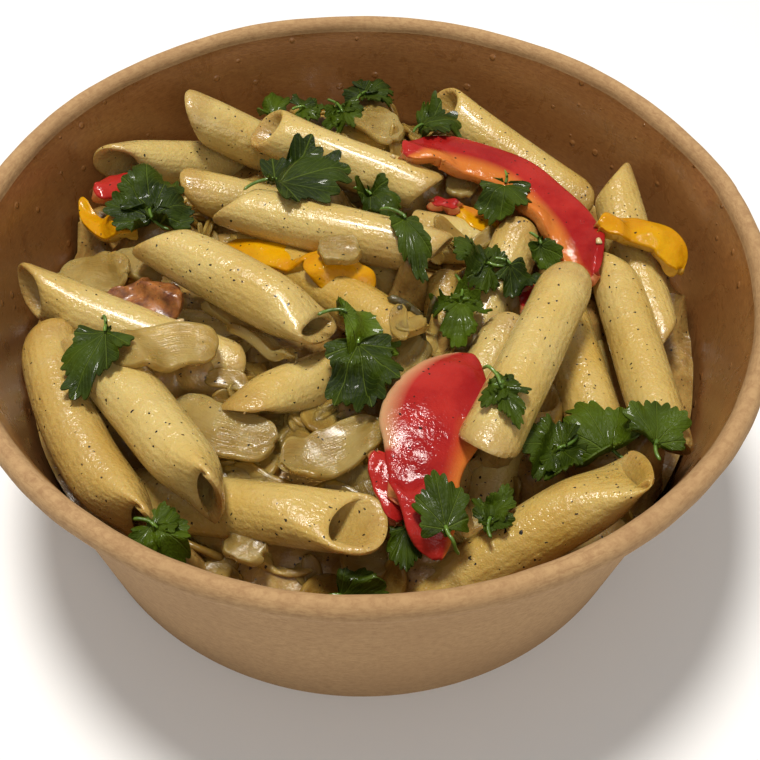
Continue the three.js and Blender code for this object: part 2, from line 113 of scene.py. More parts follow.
def add_floor():
    bpy.ops.object.select_all(action="DESELECT")
    bpy.ops.mesh.primitive_plane_add(size=FLOOR_SIZE, location=(0, 0, 0))
    floor = bpy.context.object
    floor.name = "floor"
    paint = bpy.data.materials.new("pale_floor")
    paint.use_nodes = True
    shader = paint.node_tree.nodes["Principled BSDF"]
    shader.inputs["Base Color"].default_value = (0.93, 0.93, 0.93, 1)
    shader.inputs["Roughness"].default_value = 0.9
    floor.data.materials.append(paint)


for lamp_row in LAMPS:
    add_lamp(*lamp_row)
add_floor()
sky = bpy.data.worlds.new("pale_sky")
sky.use_nodes = True
sky.node_tree.nodes["Background"].inputs["Color"].default_value = (1.0, 0.99, 0.97, 1)
sky.node_tree.nodes["Background"].inputs["Strength"].default_value = 0.30
bpy.context.scene.world = sky
bpy.context.scene.view_settings.view_transform = "Standard"
print("lamps:", len(LAMPS))

# %% [markdown]
# Every food here is built from the same few parts: a shader tree made of plain nodes, and a
# flat grid whose points are moved to their places. The helpers for nodes come first. A node
# is added with its inputs in one line, and an input is either a value or another socket.

# %% Helpers for materials
def put_in(tree, socket, value):
    """Give an input a value, or link another node's output to it."""
    if isinstance(value, bpy.types.NodeSocket):
        tree.links.new(value, socket)
    else:
        socket.default_value = value


def add_node(tree, kind, inputs=None, **settings):
    """Add one shader node; inputs maps a socket's name or number to a value or a socket."""
    new = tree.nodes.new("ShaderNode" + kind)
    for key, value in settings.items():
        setattr(new, key, value)
    for key, value in (inputs or {}).items():
        put_in(tree, new.inputs[key], value)
    return new


def blend(tree, share, first, second, kind="RGBA"):
    """Mix two colours or numbers by a share from 0 to 1."""
    mix = add_node(tree, "Mix", data_type=kind)
    start, result = {"RGBA": (6, 2), "FLOAT": (2, 0)}[kind]
    for socket, value in ((0, share), (start, first), (start + 1, second)):
        put_in(tree, mix.inputs[socket], (*value, 1) if isinstance(value, tuple) else value)
    return mix.outputs[result]


def sums(tree, operation, first, second=0.0, third=0.0, clamp=False):
    """One Math node."""
    inputs = {0: first, 1: second, 2: third}
    return add_node(tree, "Math", inputs, operation=operation, use_clamp=clamp).outputs[0]


def times(tree, first, second):
    return sums(tree, "MULTIPLY", first, second)


def layered(tree, height, *layers):
    """Add more heights to a first one, each with its weight."""
    for layer, weight in layers:
        height = sums(tree, "MULTIPLY_ADD", layer, weight, height)
    return height


def ramp(tree, value, low, high, to_low=0.0, to_high=1.0):
    """Map a range of one value onto another, held at both ends."""
    inputs = {"Value": value, "From Min": low, "From Max": high,
              "To Min": to_low, "To Max": to_high}
    return add_node(tree, "MapRange", inputs, interpolation_type="SMOOTHSTEP").outputs["Result"]


def noise(tree, vector, scale, detail=3.0, roughness=0.5, distortion=0.0, output="Fac"):
    inputs = {"Vector": vector, "Scale": scale, "Detail": detail, "Roughness": roughness,
              "Distortion": distortion}
    return add_node(tree, "TexNoise", inputs).outputs[output]


def coordinates(tree, name="Object"):
    return add_node(tree, "TexCoord").outputs[name]


def split(tree, vector):
    """The three numbers of a place or of a colour."""
    kind = "Color" if vector.type == "RGBA" else "XYZ"
    return add_node(tree, "Separate" + kind, {0: vector}).outputs


def stretched(tree, vector, scale):
    return add_node(tree, "Mapping", {"Vector": vector, "Scale": scale}).outputs[0]


def attribute(tree, name):
    """A number that the mesh carries at each of its points."""
    return add_node(tree, "Attribute", attribute_name=name).outputs["Fac"]


def new_finish(name, **constants):
    """A material with one Principled shader; constants are set on the shader itself."""
    finish = bpy.data.materials.new(name)
    finish.use_nodes = True
    shader = finish.node_tree.nodes["Principled BSDF"]
    for key, value in constants.items():
        socket = key.replace("_", " ").title().replace("Ior", "IOR")
        shader.inputs[socket].default_value = value
    return finish, finish.node_tree, shader


def dress(tree, shader, colour, height, distance, strength=0.6):
    """Link the colour, and the bump that a height makes."""
    inputs = {"Height": height, "Distance": distance, "Strength": strength}
    tree.links.new(colour, shader.inputs["Base Color"])
    tree.links.new(add_node(tree, "Bump", inputs).outputs[0], shader.inputs["Normal"])


def new_group(name, inputs, outputs):
    """A node group with named sockets: (name, socket type, value) in, (name, type) out."""
    group = bpy.data.node_groups.new(name, "ShaderNodeTree")
    for label, kind, value in inputs:
        socket = group.interface.new_socket(label, in_out="INPUT", socket_type="NodeSocket" + kind)
        if value is not None:
            socket.default_value = value
    for label, kind in outputs:
        group.interface.new_socket(label, in_out="OUTPUT", socket_type="NodeSocket" + kind)
    given = group.nodes.new("NodeGroupInput").outputs
    return group, given, group.nodes.new("NodeGroupOutput").inputs


def use_group(tree, group, inputs):
    return add_node(tree, "Group", inputs, node_tree=group).outputs

# %% [markdown]
# Two effects are seen on nearly everything in the bowl: specks of ground black pepper and
# dried herb, and a film of oil that makes the gloss uneven. Each is a group built once. The
# specks are cells of a Voronoi pattern, most of them left out, and the film is plain noise.

# %% Shared groups: seasoning and oil film
SPECK_BLACK = (0.02, 0.015, 0.01)
SPECK_WARP = 0.0012


def seasoning_group():
    """Scattered dark specks: a mask that is 1 in a speck, from cells that are mostly empty."""
    inputs = [("Vector", "Vector", None), ("Scale", "Float", 600.0), ("Size", "Float", 0.2),
              ("Share", "Float", 0.25)]
    group, given, result = new_group("seasoning", inputs, [("Mask", "Float")])
    warp = noise(group, given["Vector"], 900.0, 2.0, output="Color")
    moved = add_node(group, "VectorMath", {0: warp, 1: (SPECK_WARP,) * 3, 2: given["Vector"]},
                     operation="MULTIPLY_ADD").outputs[0]
    cells = add_node(group, "TexVoronoi", {"Vector": moved, "Scale": given["Scale"]}).outputs
    pick = split(group, cells["Color"])
    chosen = sums(group, "LESS_THAN", pick[0], given["Share"])
    size = times(group, given["Size"], ramp(group, pick[1], 0.0, 1.0, 0.4, 1.0))
    inside = sums(group, "LESS_THAN", cells["Distance"], size)
    group.links.new(times(group, chosen, inside), result["Mask"])
    return group


def oil_group():
    """Uneven gloss: roughness between two values and a low, soft height."""
    inputs = [("Vector", "Vector", None), ("Scale", "Float", 300.0), ("Wet", "Float", 0.2),
              ("Dry", "Float", 0.45)]
    outputs = [("Roughness", "Float"), ("Height", "Float")]
    group, given, result = new_group("oil_film", inputs, outputs)
    broad = noise(group, given["Vector"], given["Scale"], 4.0, 0.6)
    gloss = blend(group, ramp(group, broad, 0.35, 0.65), given["Wet"], given["Dry"], "FLOAT")
    group.links.new(gloss, result["Roughness"])
    group.links.new(broad, result["Height"])
    return group


SEASONING = seasoning_group()
OIL_FILM = oil_group()


def seasoned(tree, place, colour, scale, size, share):
    """Sprinkle dark specks on a colour."""
    inputs = {"Vector": place, "Scale": scale, "Size": size, "Share": share}
    return blend(tree, use_group(tree, SEASONING, inputs)["Mask"], colour, SPECK_BLACK)


def oiled(tree, shader, place, scale, wet, dry):
    """Give the shader the oil film's gloss; returns the film's height."""
    inputs = {"Vector": place, "Scale": scale, "Wet": wet, "Dry": dry}
    film = use_group(tree, OIL_FILM, inputs)
    tree.links.new(film["Roughness"], shader.inputs["Roughness"])
    return film["Height"]


print("groups:", SEASONING.name, OIL_FILM.name)

# %% [markdown]
# Pasta cooked in a vegetable sauce is a warm cream. Some light goes in and comes out
# again close by, so the shader scatters a little. The tone changes from piece to piece, which an
# attribute carries, and along each piece, where the sauce has stained it and where painted shade
# darkens the undersides and two spots.

# %% Pasta finish
PASTA_CREAM = (0.60, 0.45, 0.155)
PASTA_YELLOW = (0.50, 0.31, 0.055)
# Colour of sauce stains, also used as painted shade on the penne's undersides and on two spots.
PASTA_STAIN_AND_SHADE = (0.30, 0.145, 0.03)
RIDGES = 24


def pasta_finish():
    finish, tree, shader = new_finish("pasta", subsurface_weight=0.35, subsurface_scale=0.003,
                                      coat_weight=0.25, coat_roughness=0.12)
    shader.inputs["Subsurface Radius"].default_value = (1.0, 0.6, 0.25)
    place = coordinates(tree)
    fine = noise(tree, place, 420.0, 4.0, 0.65)
    clouds = ramp(tree, noise(tree, place, 70.0, 3.0), 0.3, 0.7, -0.3, 0.3)
    warmth = sums(tree, "ADD", attribute(tree, "tone"), clouds, clamp=True)
    colour = blend(tree, warmth, PASTA_CREAM, PASTA_YELLOW)
    patches = times(tree, ramp(tree, fine, 0.45, 0.75), 0.14)
    # Sauce stains darken the cream here, together with painted shade on the undersides and on two
    # spots.
    sauce = sums(tree, "ADD", attribute(tree, "sauce_stain_and_shade"), patches, clamp=True)
    colour = blend(tree, sauce, colour, PASTA_STAIN_AND_SHADE)
    colour = seasoned(tree, place, colour, 1300.0, 0.32, 0.13)
    around = split(tree, coordinates(tree, "UV"))[0]
    ridges = sums(tree, "SINE", times(tree, around, RIDGES * 2 * math.pi))
    grain = noise(tree, place, 1700.0, 2.0, 0.6)
    film = oiled(tree, shader, place, 420.0, 0.15, 0.30)
    height = layered(tree, film, (fine, 0.5), (grain, 0.45), (ridges, 0.05))
    dress(tree, shader, colour, height, 0.0005)
    return finish


PASTA = pasta_finish()
print("finish:", PASTA.name)

# %% [markdown]
# A pepper strip has a smooth, glossy skin on one side and paler wet flesh on the cut edges
# and the other side. Tomato, sauce and crumbs are wet too. They are all one recipe with other
# colours, so a table holds the colours. Onion is glassy, and has a recipe of its own.

# %% Pepper, tomato and onion finishes
FLESH_ORANGE = (0.62, 0.20, 0.03)
FLESH_BEIGE = (0.62, 0.42, 0.20)
SPECK_SCALE, SPECK_SIZE = 1100.0, 0.26


def fine_grain(tree, place):
    return noise(tree, place, 1500.0, 2.0, 0.6)


def wet_finish(name, light, dark, scale, wet, dry, share=0.12, grain=0.25, **constants):
    """A wet vegetable surface: two colours, some seasoning, a fine grain and an uneven gloss."""
    finish, tree, shader = new_finish(name, **constants)
    place = coordinates(tree)
    broad = noise(tree, place, scale, 5.0, 0.6)
    colour = blend(tree, ramp(tree, broad, 0.32, 0.68), light, dark)
    uneven = ramp(tree, broad, 0.2, 0.5, 1.0, 0.8)
    for flesh, flesh_colour in (("orange", FLESH_ORANGE), ("beige", FLESH_BEIGE)):
        colour = blend(tree, times(tree, attribute(tree, flesh), uneven), colour, flesh_colour)
    colour = seasoned(tree, place, colour, SPECK_SCALE, SPECK_SIZE, share)
    film = oiled(tree, shader, place, 420.0, wet, dry)
    height = layered(tree, film, (fine_grain(tree, place), grain))
    dress(tree, shader, colour, height, 0.0006)
    return finish


def onion_finish(name, clear, cloudy, transmission):
    """Cooked onion: glassy, with fine veins along the slice, read from its own UV map."""
    finish, tree, shader = new_finish(name, subsurface_weight=0.5, subsurface_scale=0.004,
                                      transmission_weight=transmission, coat_weight=0.2,
                                      coat_roughness=0.12, specular_ior_level=0.35, ior=1.38)
    shader.inputs["Subsurface Radius"].default_value = (1.0, 0.75, 0.4)
    place = coordinates(tree)
    lengthways = stretched(tree, coordinates(tree, "UV"), (2.0, 26.0, 1.0))
    veins = ramp(tree, noise(tree, lengthways, 1.0, 2.0), 0.4, 0.62)
    clouds = ramp(tree, noise(tree, place, 160.0, 4.0), 0.35, 0.65)
    colour = blend(tree, clouds, clear, cloudy)
    colour = blend(tree, times(tree, veins, 0.25), colour, cloudy)
    colour = seasoned(tree, place, colour, SPECK_SCALE, SPECK_SIZE, 0.10)
    film = oiled(tree, shader, place, 350.0, 0.12, 0.28)
    height = layered(tree, film, (fine_grain(tree, place), 0.25), (veins, 0.12))
    dress(tree, shader, colour, height, 0.0005)
    return finish


# Light and dark colour, scale of the mottling, roughness wet and dry, and what is special.
WET_ROWS = {
    "red_pepper_skin": ((0.42, 0.025, 0.018), (0.29, 0.008, 0.008), 90.0, 0.08, 0.17,
                        {"grain": 0.10, "specular_ior_level": 0.2}),
    "red_pepper_flesh": ((0.60, 0.18, 0.05), (0.50, 0.07, 0.03), 260.0, 0.25, 0.45, {}),
    "red_pepper_cut": ((0.60, 0.28, 0.10), (0.52, 0.12, 0.04), 300.0, 0.25, 0.45, {}),
    "yellow_pepper_skin": ((0.62, 0.31, 0.002), (0.53, 0.22, 0.002), 90.0, 0.08, 0.18,
                           {"grain": 0.10, "specular_ior_level": 0.25}),
    "yellow_pepper_flesh": ((0.64, 0.40, 0.05), (0.58, 0.30, 0.02), 260.0, 0.25, 0.45, {}),
    "stewed_tomato": ((0.37, 0.14, 0.035), (0.10, 0.028, 0.010), 330.0, 0.2, 0.45,
                      {"share": 0.3}),
    "onion_sauce": ((0.44, 0.28, 0.08), (0.24, 0.13, 0.03), 210.0, 0.12, 0.35, {"share": 0.35}),
    "garlic_crumb": ((0.68, 0.54, 0.28), (0.50, 0.33, 0.13), 500.0, 0.3, 0.5, {}),
    "wilted_herb": ((0.10, 0.075, 0.018), (0.045, 0.032, 0.010), 500.0, 0.2, 0.45, {}),
}
GLOSSY = {"coat_weight": 0.10, "coat_roughness": 0.06, "subsurface_weight": 0.15,
          "subsurface_scale": 0.003}
WET = {name: wet_finish(name, *row[:5], **GLOSSY, **row[5]) for name, row in WET_ROWS.items()}
ONION = onion_finish("cooked_onion", (0.46, 0.30, 0.07), (0.64, 0.47, 0.16), 0.50)
SCRAP = onion_finish("onion_scrap", (0.38, 0.215, 0.036), (0.56, 0.365, 0.09), 0.4)
FLAKE = wet_finish("pepper_flake", (0.05, 0.03, 0.015), (0.015, 0.01, 0.006), 900.0, 0.4, 0.6,
                   share=0.0)
print("vegetable finishes:", len(bpy.data.materials))

# %% [markdown]
# A parsley leaf has lobes that spread from one point, each with a main vein and side veins.
# The leaf's UV map holds its own flat shape, with that point at the middle, so the veins are
# drawn from the angle: it is folded into one lobe's sector, and the rest is the same for all.

# %% Parsley finish
LOBE_ANGLE = math.radians(39)
LEAF_DARK = (0.013, 0.024, 0.0015)
LEAF_BRIGHT = (0.095, 0.15, 0.004)
LEAF_VEIN = (0.12, 0.17, 0.015)
SIDE_VEINS = 20.0
SIDE_VEIN_SLANT = 1.6


def parsley_finish():
    finish, tree, shader = new_finish("parsley", coat_weight=0.12, coat_roughness=0.08,
                                      specular_ior_level=0.15)
    place = coordinates(tree)
    flat = split(tree, coordinates(tree, "UV"))
    ahead = sums(tree, "SUBTRACT", flat[0], 0.5)
    aside = sums(tree, "SUBTRACT", flat[1], 0.5)
    angle = sums(tree, "ARCTAN2", aside, ahead)
    folded = sums(tree, "WRAP", angle, LOBE_ANGLE / 2, -LOBE_ANGLE / 2)
    squares = sums(tree, "MULTIPLY_ADD", ahead, ahead, times(tree, aside, aside))
    reach = sums(tree, "SQRT", squares)
    along = times(tree, reach, sums(tree, "COSINE", folded))
    across = sums(tree, "ABSOLUTE", times(tree, reach, sums(tree, "SINE", folded)))
    main = ramp(tree, across, 0.002, 0.008, 1.0, 0.0)
    slanted = sums(tree, "MULTIPLY_ADD", across, -SIDE_VEIN_SLANT, along)
    steps = sums(tree, "FRACT", times(tree, slanted, SIDE_VEINS))
    off_vein = sums(tree, "ABSOLUTE", sums(tree, "SUBTRACT", steps, 0.5))
    side = ramp(tree, off_vein, 0.05, 0.16, 1.0, 0.0)
    veins = sums(tree, "MAXIMUM", main, times(tree, side, 0.4))
    clouds = ramp(tree, noise(tree, place, 150.0, 3.0), 0.3, 0.7, -0.18, 0.18)
    tone = sums(tree, "ADD", attribute(tree, "tone"), clouds, clamp=True)
    colour = blend(tree, tone, LEAF_DARK, LEAF_BRIGHT)
    colour = blend(tree, times(tree, veins, 0.45), colour, LEAF_VEIN)
    crinkle = noise(tree, place, 1100.0, 3.0, 0.6)
    film = oiled(tree, shader, place, 500.0, 0.3, 0.6)
    height = layered(tree, film, (crinkle, 0.6), (veins, -0.6))
    dress(tree, shader, colour, height, 0.0005, 0.8)
    return finish


PARSLEY = parsley_finish()
STEM = wet_finish("parsley_stem", (0.13, 0.23, 0.02), (0.06, 0.12, 0.01), 200.0, 0.25, 0.45,
                  share=0.0, coat_weight=0.3)
print("finishes:", PARSLEY.name, STEM.name)

# %% [markdown]
# Kraft board is brown pulp with lighter and darker fibres. Outside it is matt. Inside, a thin
# film lines it, and the oil of the meal has darkened it and left drops and smears, the drops
# painted a lighter brown as painted highlights. The fibres run round the bowl, so they are noise on
# the angle and the height, stretched along the angle.

# %% Kraft board finish
KRAFT_LIGHT = (0.47, 0.29, 0.13)
KRAFT_DARK = (0.34, 0.19, 0.08)
INSIDE_LIGHT = (0.33, 0.145, 0.042)
INSIDE_DARK = (0.23, 0.09, 0.024)
KRAFT_OILED = (0.17, 0.065, 0.02)
MATT, FILMED = 0.85, 0.35
RIM_RADIUS = 75.0


def kraft_finish(name, light, dark, drops=0.0):
    """Board of two browns; with a share of drops it is also filmed, oily and splashed, each drop
    painted lighter as a painted highlight.
    """
    finish, tree, shader = new_finish(name, coat_weight=0.5 if drops else 0.0,
                                      coat_roughness=0.25, roughness=MATT)
    place = coordinates(tree)
    x, y, z = split(tree, place)
    turn = times(tree, sums(tree, "ARCTAN2", y, x), RIM_RADIUS * MM)
    sheet = add_node(tree, "CombineXYZ", {0: turn, 1: z, 2: 0.0}).outputs[0]
    fibres = noise(tree, stretched(tree, sheet, (500.0, 3200.0, 1.0)), 1.0, 4.0, 0.7, 0.6)
    pulp = noise(tree, place, 900.0, 4.0, 0.7)
    grain = sums(tree, "MULTIPLY_ADD", fibres, 0.6, times(tree, pulp, 0.4))
    clouds = ramp(tree, noise(tree, place, 45.0, 3.0), 0.35, 0.7, 0.0, 0.35)
    colour = blend(tree, ramp(tree, grain, 0.36, 0.62), dark, light)
    colour = blend(tree, clouds, colour, dark)
    height = times(tree, grain, 0.35)
    if drops:
        beads = add_node(tree, "TexVoronoi", {"Vector": place, "Scale": 260.0}).outputs
        pick = split(tree, beads["Color"])
        wide = ramp(tree, pick[1], 0.0, 1.0, 0.08, 0.26)
        cap = ramp(tree, sums(tree, "DIVIDE", beads["Distance"], wide), 0.5, 1.0, 1.0, 0.0)
        bead = times(tree, cap, sums(tree, "LESS_THAN", pick[0], drops))
        smear = ramp(tree, noise(tree, place, 120.0, 5.0, 0.7, 1.2), 0.52, 0.68)
        colour = blend(tree, times(tree, smear, 0.45), colour, KRAFT_OILED)
        # Painted highlight: each drop is painted towards the lighter brown.
        colour = blend(tree, times(tree, bead, 0.5), colour, light)
        height = sums(tree, "ADD", height, bead)
        wet = times(tree, sums(tree, "MAXIMUM", smear, bead), 0.25)
        tree.links.new(sums(tree, "SUBTRACT", FILMED, wet), shader.inputs["Roughness"])
    dress(tree, shader, colour, height, 0.0004, 0.7)
    return finish


KRAFT_OUTSIDE = kraft_finish("kraft_outside", KRAFT_LIGHT, KRAFT_DARK)
KRAFT_INSIDE = kraft_finish("kraft_inside", INSIDE_LIGHT, INSIDE_DARK, 0.5)
print("board finishes:", KRAFT_OUTSIDE.name, KRAFT_INSIDE.name)

# %% [markdown]
# The bowl wall is one closed outline turned round the axis: the foot band, the sloping board
# and the rolled rim. By hand this is a circle, extruded and resized from point to point, and
# its last ring is merged with its first. Small uneven moves then make it paper, not metal.

# %% Bowl wall
BOWL_HEIGHT = 60.0
FOOT_RADIUS = 64.0
BOARD = 0.5
RIM_ROLL_WIDTH = 3.8
RIM_ROLL_HEIGHT = 4.5
ROLL_FROM, ROLL_TO, ROLL_STEPS = -115, 188, 18
FOOT_BAND = 1.2
FOOT_RECESS = 6.0
GAP = 0.35
BOWL_SIDES = 360
WALL_RINGS = 9
SEAM_ANGLE = math.radians(13)
SEAM_LAP = 9.0
SEAM_STEP = 0.3
RIM_FROM = 54.0


def inner_radius(z):
    foot = FOOT_RADIUS - BOARD
    rim = RIM_RADIUS - RIM_ROLL_WIDTH
    return foot + (rim - foot) * z / BOWL_HEIGHT


def rounds(centre, half_width, half_height, start, end, steps):
    """Points on an arc of an ellipse, from one angle in degrees to another."""
    points = []
    for step in range(steps + 1):
        turn = math.radians(start + (end - start) * step / steps)
        points.append((centre[0] + half_width * math.cos(turn),
                       centre[1] + half_height * math.sin(turn)))
    return points


def turned(name, outline):
    """Extrude a circle from point to point of an outline of (radius, height), in mm."""
    bpy.ops.object.select_all(action="DESELECT")
    radius, height = outline[0]
    bpy.ops.mesh.primitive_circle_add(vertices=BOWL_SIDES, radius=radius * MM,
                                      location=(0, 0, height * MM))
    piece = bpy.context.object
    piece.name = piece.data.name = name
    bpy.ops.object.transform_apply(location=True)
    bpy.ops.object.mode_set(mode="EDIT")
    for next_radius, next_height in outline[1:]:
        rise = (0, 0, (next_height - height) * MM)
        bpy.ops.mesh.extrude_region_move(TRANSFORM_OT_translate={"value": rise})
        share = next_radius / radius
        bpy.ops.transform.resize(value=(share, share, 1), center_override=(0, 0, 0))
        radius, height = next_radius, next_height
    bpy.ops.mesh.select_all(action="SELECT")
    bpy.ops.mesh.remove_doubles(threshold=1e-6)
    bpy.ops.mesh.normals_make_consistent(inside=False)
    bpy.ops.object.mode_set(mode="OBJECT")
    return piece


def points_of(piece):
    places = np.empty(len(piece.data.vertices) * 3)
    piece.data.vertices.foreach_get("co", places)
    return places.reshape(-1, 3)


def move_points(piece, places):
    piece.data.vertices.foreach_set("co", np.asarray(places, dtype=float).ravel())
    piece.data.update()


def smooth(piece, degrees=50):
    bpy.ops.object.select_all(action="DESELECT")
    piece.select_set(True)
    bpy.context.view_layer.objects.active = piece
    bpy.ops.object.shade_smooth_by_angle(angle=math.radians(degrees))


def make_paper(wall):
    """Move the turned points a little: an uneven rim, and the step of the lapped seam."""
    x, y, height = (points_of(wall) / MM).T
    radius, angle = np.hypot(x, y), np.arctan2(y, x)
    rim = np.clip((height - RIM_FROM) / 3, 0, 1)
    uneven = (0.16 * np.sin(angle * 7 + 1) + 0.10 * np.sin(angle * 19 + height)
              + 0.05 * np.sin(angle * 53))
    lap = np.exp(-np.clip((angle - SEAM_ANGLE) * RIM_RADIUS / SEAM_LAP, 0, None) ** 4)
    lap *= angle > SEAM_ANGLE
    inside = (radius < inner_radius(height) + BOARD / 2) & (height > FOOT_RECESS + 1)
    outside = (radius > inner_radius(height) + BOARD / 2) & (height > 1)
    reach = radius + uneven * rim * 0.5 + lap * SEAM_STEP * (outside * 1.0 - inside * 1.0)
    height = height - rim * lap * 0.25 - 0.2 * rim * (1 + np.sin(angle * 11 + 2)) / 2
    places = np.column_stack([reach * np.cos(angle), reach * np.sin(angle), height])
    move_points(wall, places * MM)


def bowl_wall():
    roll_middle = (RIM_RADIUS - RIM_ROLL_WIDTH / 2, BOWL_HEIGHT - RIM_ROLL_HEIGHT / 2)
    roll = rounds(roll_middle, RIM_ROLL_WIDTH / 2, RIM_ROLL_HEIGHT / 2, ROLL_FROM, ROLL_TO,
                  ROLL_STEPS)
    rising = np.linspace(1, roll[0][1] + 0.5, WALL_RINGS)
    falling = np.linspace(roll[-1][1] - 1.5, FOOT_RECESS + FOOT_BAND, WALL_RINGS)
    outer = [(inner_radius(z) + BOARD, z) for z in rising]
    inner = [(inner_radius(z), z) for z in falling]
    outline = [(FOOT_RADIUS - FOOT_BAND, 0), (FOOT_RADIUS, 0), *outer, *roll, *inner,
               (FOOT_RADIUS - FOOT_BAND, FOOT_RECESS), (FOOT_RADIUS - FOOT_BAND, 0)]
    wall = turned("bowl_wall_board", outline)
    make_paper(wall)
    wall.data.materials.append(KRAFT_OUTSIDE)
    wall.data.materials.append(KRAFT_INSIDE)
    for face in wall.data.polygons:
        middle = face.center / MM
        reach = math.hypot(middle.x, middle.y)
        inward = face.normal.x * middle.x + face.normal.y * middle.y < 0
        face.material_index = int(inward and middle.z < BOWL_HEIGHT - 3 and reach > FOOT_RADIUS)
    smooth(wall)
    return wall


def bowl_base():
    edge = FOOT_RADIUS - FOOT_BAND - GAP
    under = FOOT_RECESS - BOARD
    corner = (edge - 1, FOOT_RECESS - 1)
    outline = [(0.01, FOOT_RECESS), *[(edge * share, FOOT_RECESS) for share in (0.3, 0.6, 0.9)],
               *rounds(corner, 1, 1, 90, 0, 4), (edge, 1), (edge - BOARD, 1),
               *rounds(corner, 1 - BOARD, 1 - BOARD, 0, 90, 4),
               *[(edge * share, under) for share in (0.9, 0.6, 0.3)],
               (0.01, under), (0.01, FOOT_RECESS)]
    base = turned("bowl_base_board", outline)
    base.data.materials.append(KRAFT_OUTSIDE)
    smooth(base)
    return base


def stands_for(piece, slot, *nodes):
    """Say what a finished piece rides on and which solids it replaces. The slot is not used."""
    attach(piece, "root")
    if nodes:
        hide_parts(*nodes)
    return piece


stands_for(bowl_wall(), "kraft_paper", "bowl_wall")
stands_for(bowl_base(), "kraft_paper", "bowl_base")
print("bowl made")

# %% [markdown]
# The penne are placed as in the CAD source: the middles of the two cut ends, a bow
# to the side, then turn and slope of each cut, the diameter and the ends that show open.

# %% Places of the penne
PENNE = [
    ("torn_left", (-38, 47, 51), (-3, 48, 30), 0, (180, 1), (180, 1), 10.5, ""),
    ("back_left", (-22, 42, 52), (13, 26, 48), 1, (20, 0.9), (-38, 0.5), 10.5, "a"),
    ("far_left", (-54, 34, 48), (-22, 56, 31), 0, (115, 1), (115, 1), 10, "a"),
    ("tucked_left", (-37, 30, 44), (4, 28, 32), 0, (175, 1), (150, 1), 10, ""),
    ("middle_top", (-27, 18, 51), (14, 5, 51), 1, (-38, 0.9), (-38, 0.6), 10.5, ""),
    ("middle_left", (-40, 5, 53), (-8, -17, 53), 0, (-38, 0.9), (150, 0.3), 11, "b"),
    ("left_tip", (-64, -4, 49), (-24, -18, 42), 0, (80, 1), (60, 0.6), 10.5, "a"),
    ("left_wall", (-58, -16, 46), (-35, -54, 46), 2.5, (170, 0.8), (-95, 1), 10.5, "b"),
    ("left_front", (-49, -19, 48), (-24, -52, 52), 0, (-95, 1), (-95, 1), 11, "b"),
    ("front_open", (-40, -42, 36), (0, -55, 50), 0, (170, 1), (170, 1), 10.5, "b"),
    ("centre_slit", (-21, -30, 46), (14, -6, 37), 0, (136, 1), (136, 1), 10.5, "a"),
    ("centre_low", (-29, 23, 33), (9, 6, 42), 0, (0, 1), (0, 1), 10.5, ""),
    ("back_right", (17, 56, 48), (47, 34, 39), 0, (45, 1), (45, 1), 9.8, "a"),
    ("right_wall", (53, 32, 47), (58, -9, 41), 0, (80, 1), (80, 1), 9.8, ""),
    ("right_front", (50, 8, 45), (52, -37, 48), 0, (-60, 1), (-60, 0.8), 10, ""),
    ("right_inner", (39, 6, 40), (43, -37, 42), 0, (0, 1), (0, 1), 10.5, ""),
    ("top_slanting", (37, -7, 54), (20, -43, 54), 0, (175, 1), (0, 0.8), 10.2, ""),
    ("under_slanting", (26, -30, 43), (16, -60, 30), 0, (0, 1), (0, 1), 10, ""),
    ("front_rim", (12, -61, 38), (44, -48, 56), 0, (140, 1), (140, 1), 10.5, "b"),
    ("under_herb", (31, 14, 46), (15, -22, 33), 0, (175, 1), (175, 1), 10, ""),
    ("under_slab", (27, -11, 44), (7, -47, 38), 0, (175, 1), (175, 1), 10.2, ""),
    ("pale_low", (32, -22, 42), (26, -56, 24), 0, (0, 1), (0, 1), 10.2, ""),
    ("front_low", (-46, -40, 28), (-10, -53, 38), 0, (0, 1), (170, 1), 10, "b"),
    ("centre_stub", (16, 3, 43), (16, -24, 30), 0, (175, 1), (0, 1), 8.5, ""),
]
PENNE_WALL = 1.6
BED_HEIGHT = 39.0


def penne_frame(row):
    """Start, end, and the three directions of a penne: along, aside and up."""
    start, end = np.array(row[1], float), np.array(row[2], float)
    along = (end - start) / np.linalg.norm(end - start)
    aside = np.cross(along, (0, 0, 1))
    aside /= np.linalg.norm(aside)
    return start, end, along, aside, np.cross(aside, along)


print("penne placed by hand:", len(PENNE))

# %% [markdown]
# A penne is a sheet rolled into a tube. The grid's first direction goes round it and its
# second along it. The two ends are cut on a slant simply by where the first and last rings
# stop, and cooking has pinched them flat, some of them shut. Solidify gives the wall its
# thickness, and a subdivision rounds the lips. The ridges are so faint that they are left to
# the bump. Some penne are browned round one spot, and on two of them that spot is painted shade.

# %% Penne
AROUND = 32
ALONG = 14
PINCH_REACH = 5.5
OPEN_PINCH = 0.60
CLOSED_PINCH = 0.12
BLUNT = 0.8
SHUT_FROM, SHUT_BLUNT = 0.7, 0.4
TIP_STAIN = 0.35
END_PINCH = {"back_right": 0.15, "far_left": 0.35, "back_left": 0.1, "left_tip": 0.3,
             "left_front": 0.74, "left_wall": 0.75, "front_rim": 0.80}
PENNE_TONES = {"left_wall": 0.45, "front_rim": 0.6, "front_open": 0.3, "back_left": 0.1,
               "middle_left": 0.15}
# Brown spots: real browning on back_left, left_front and front_rim; painted shade on the right part
# of middle_top, and a broad painted shade over left_wall beside the bowl's wall.
BROWNED_AND_SHADED = {"back_left": ((-25, 31.5, 51), 5.5, 0.75), "left_front": ((-24, -52.5, 53), 3.2, 0.8),
           "front_rim": ((31.5, -51, 52), 2.4, 0.7), "middle_top": ((5, 5, 50), 6.0, 0.5),
           "left_wall": ((-50, -38, 44), 24.0, 0.22)}


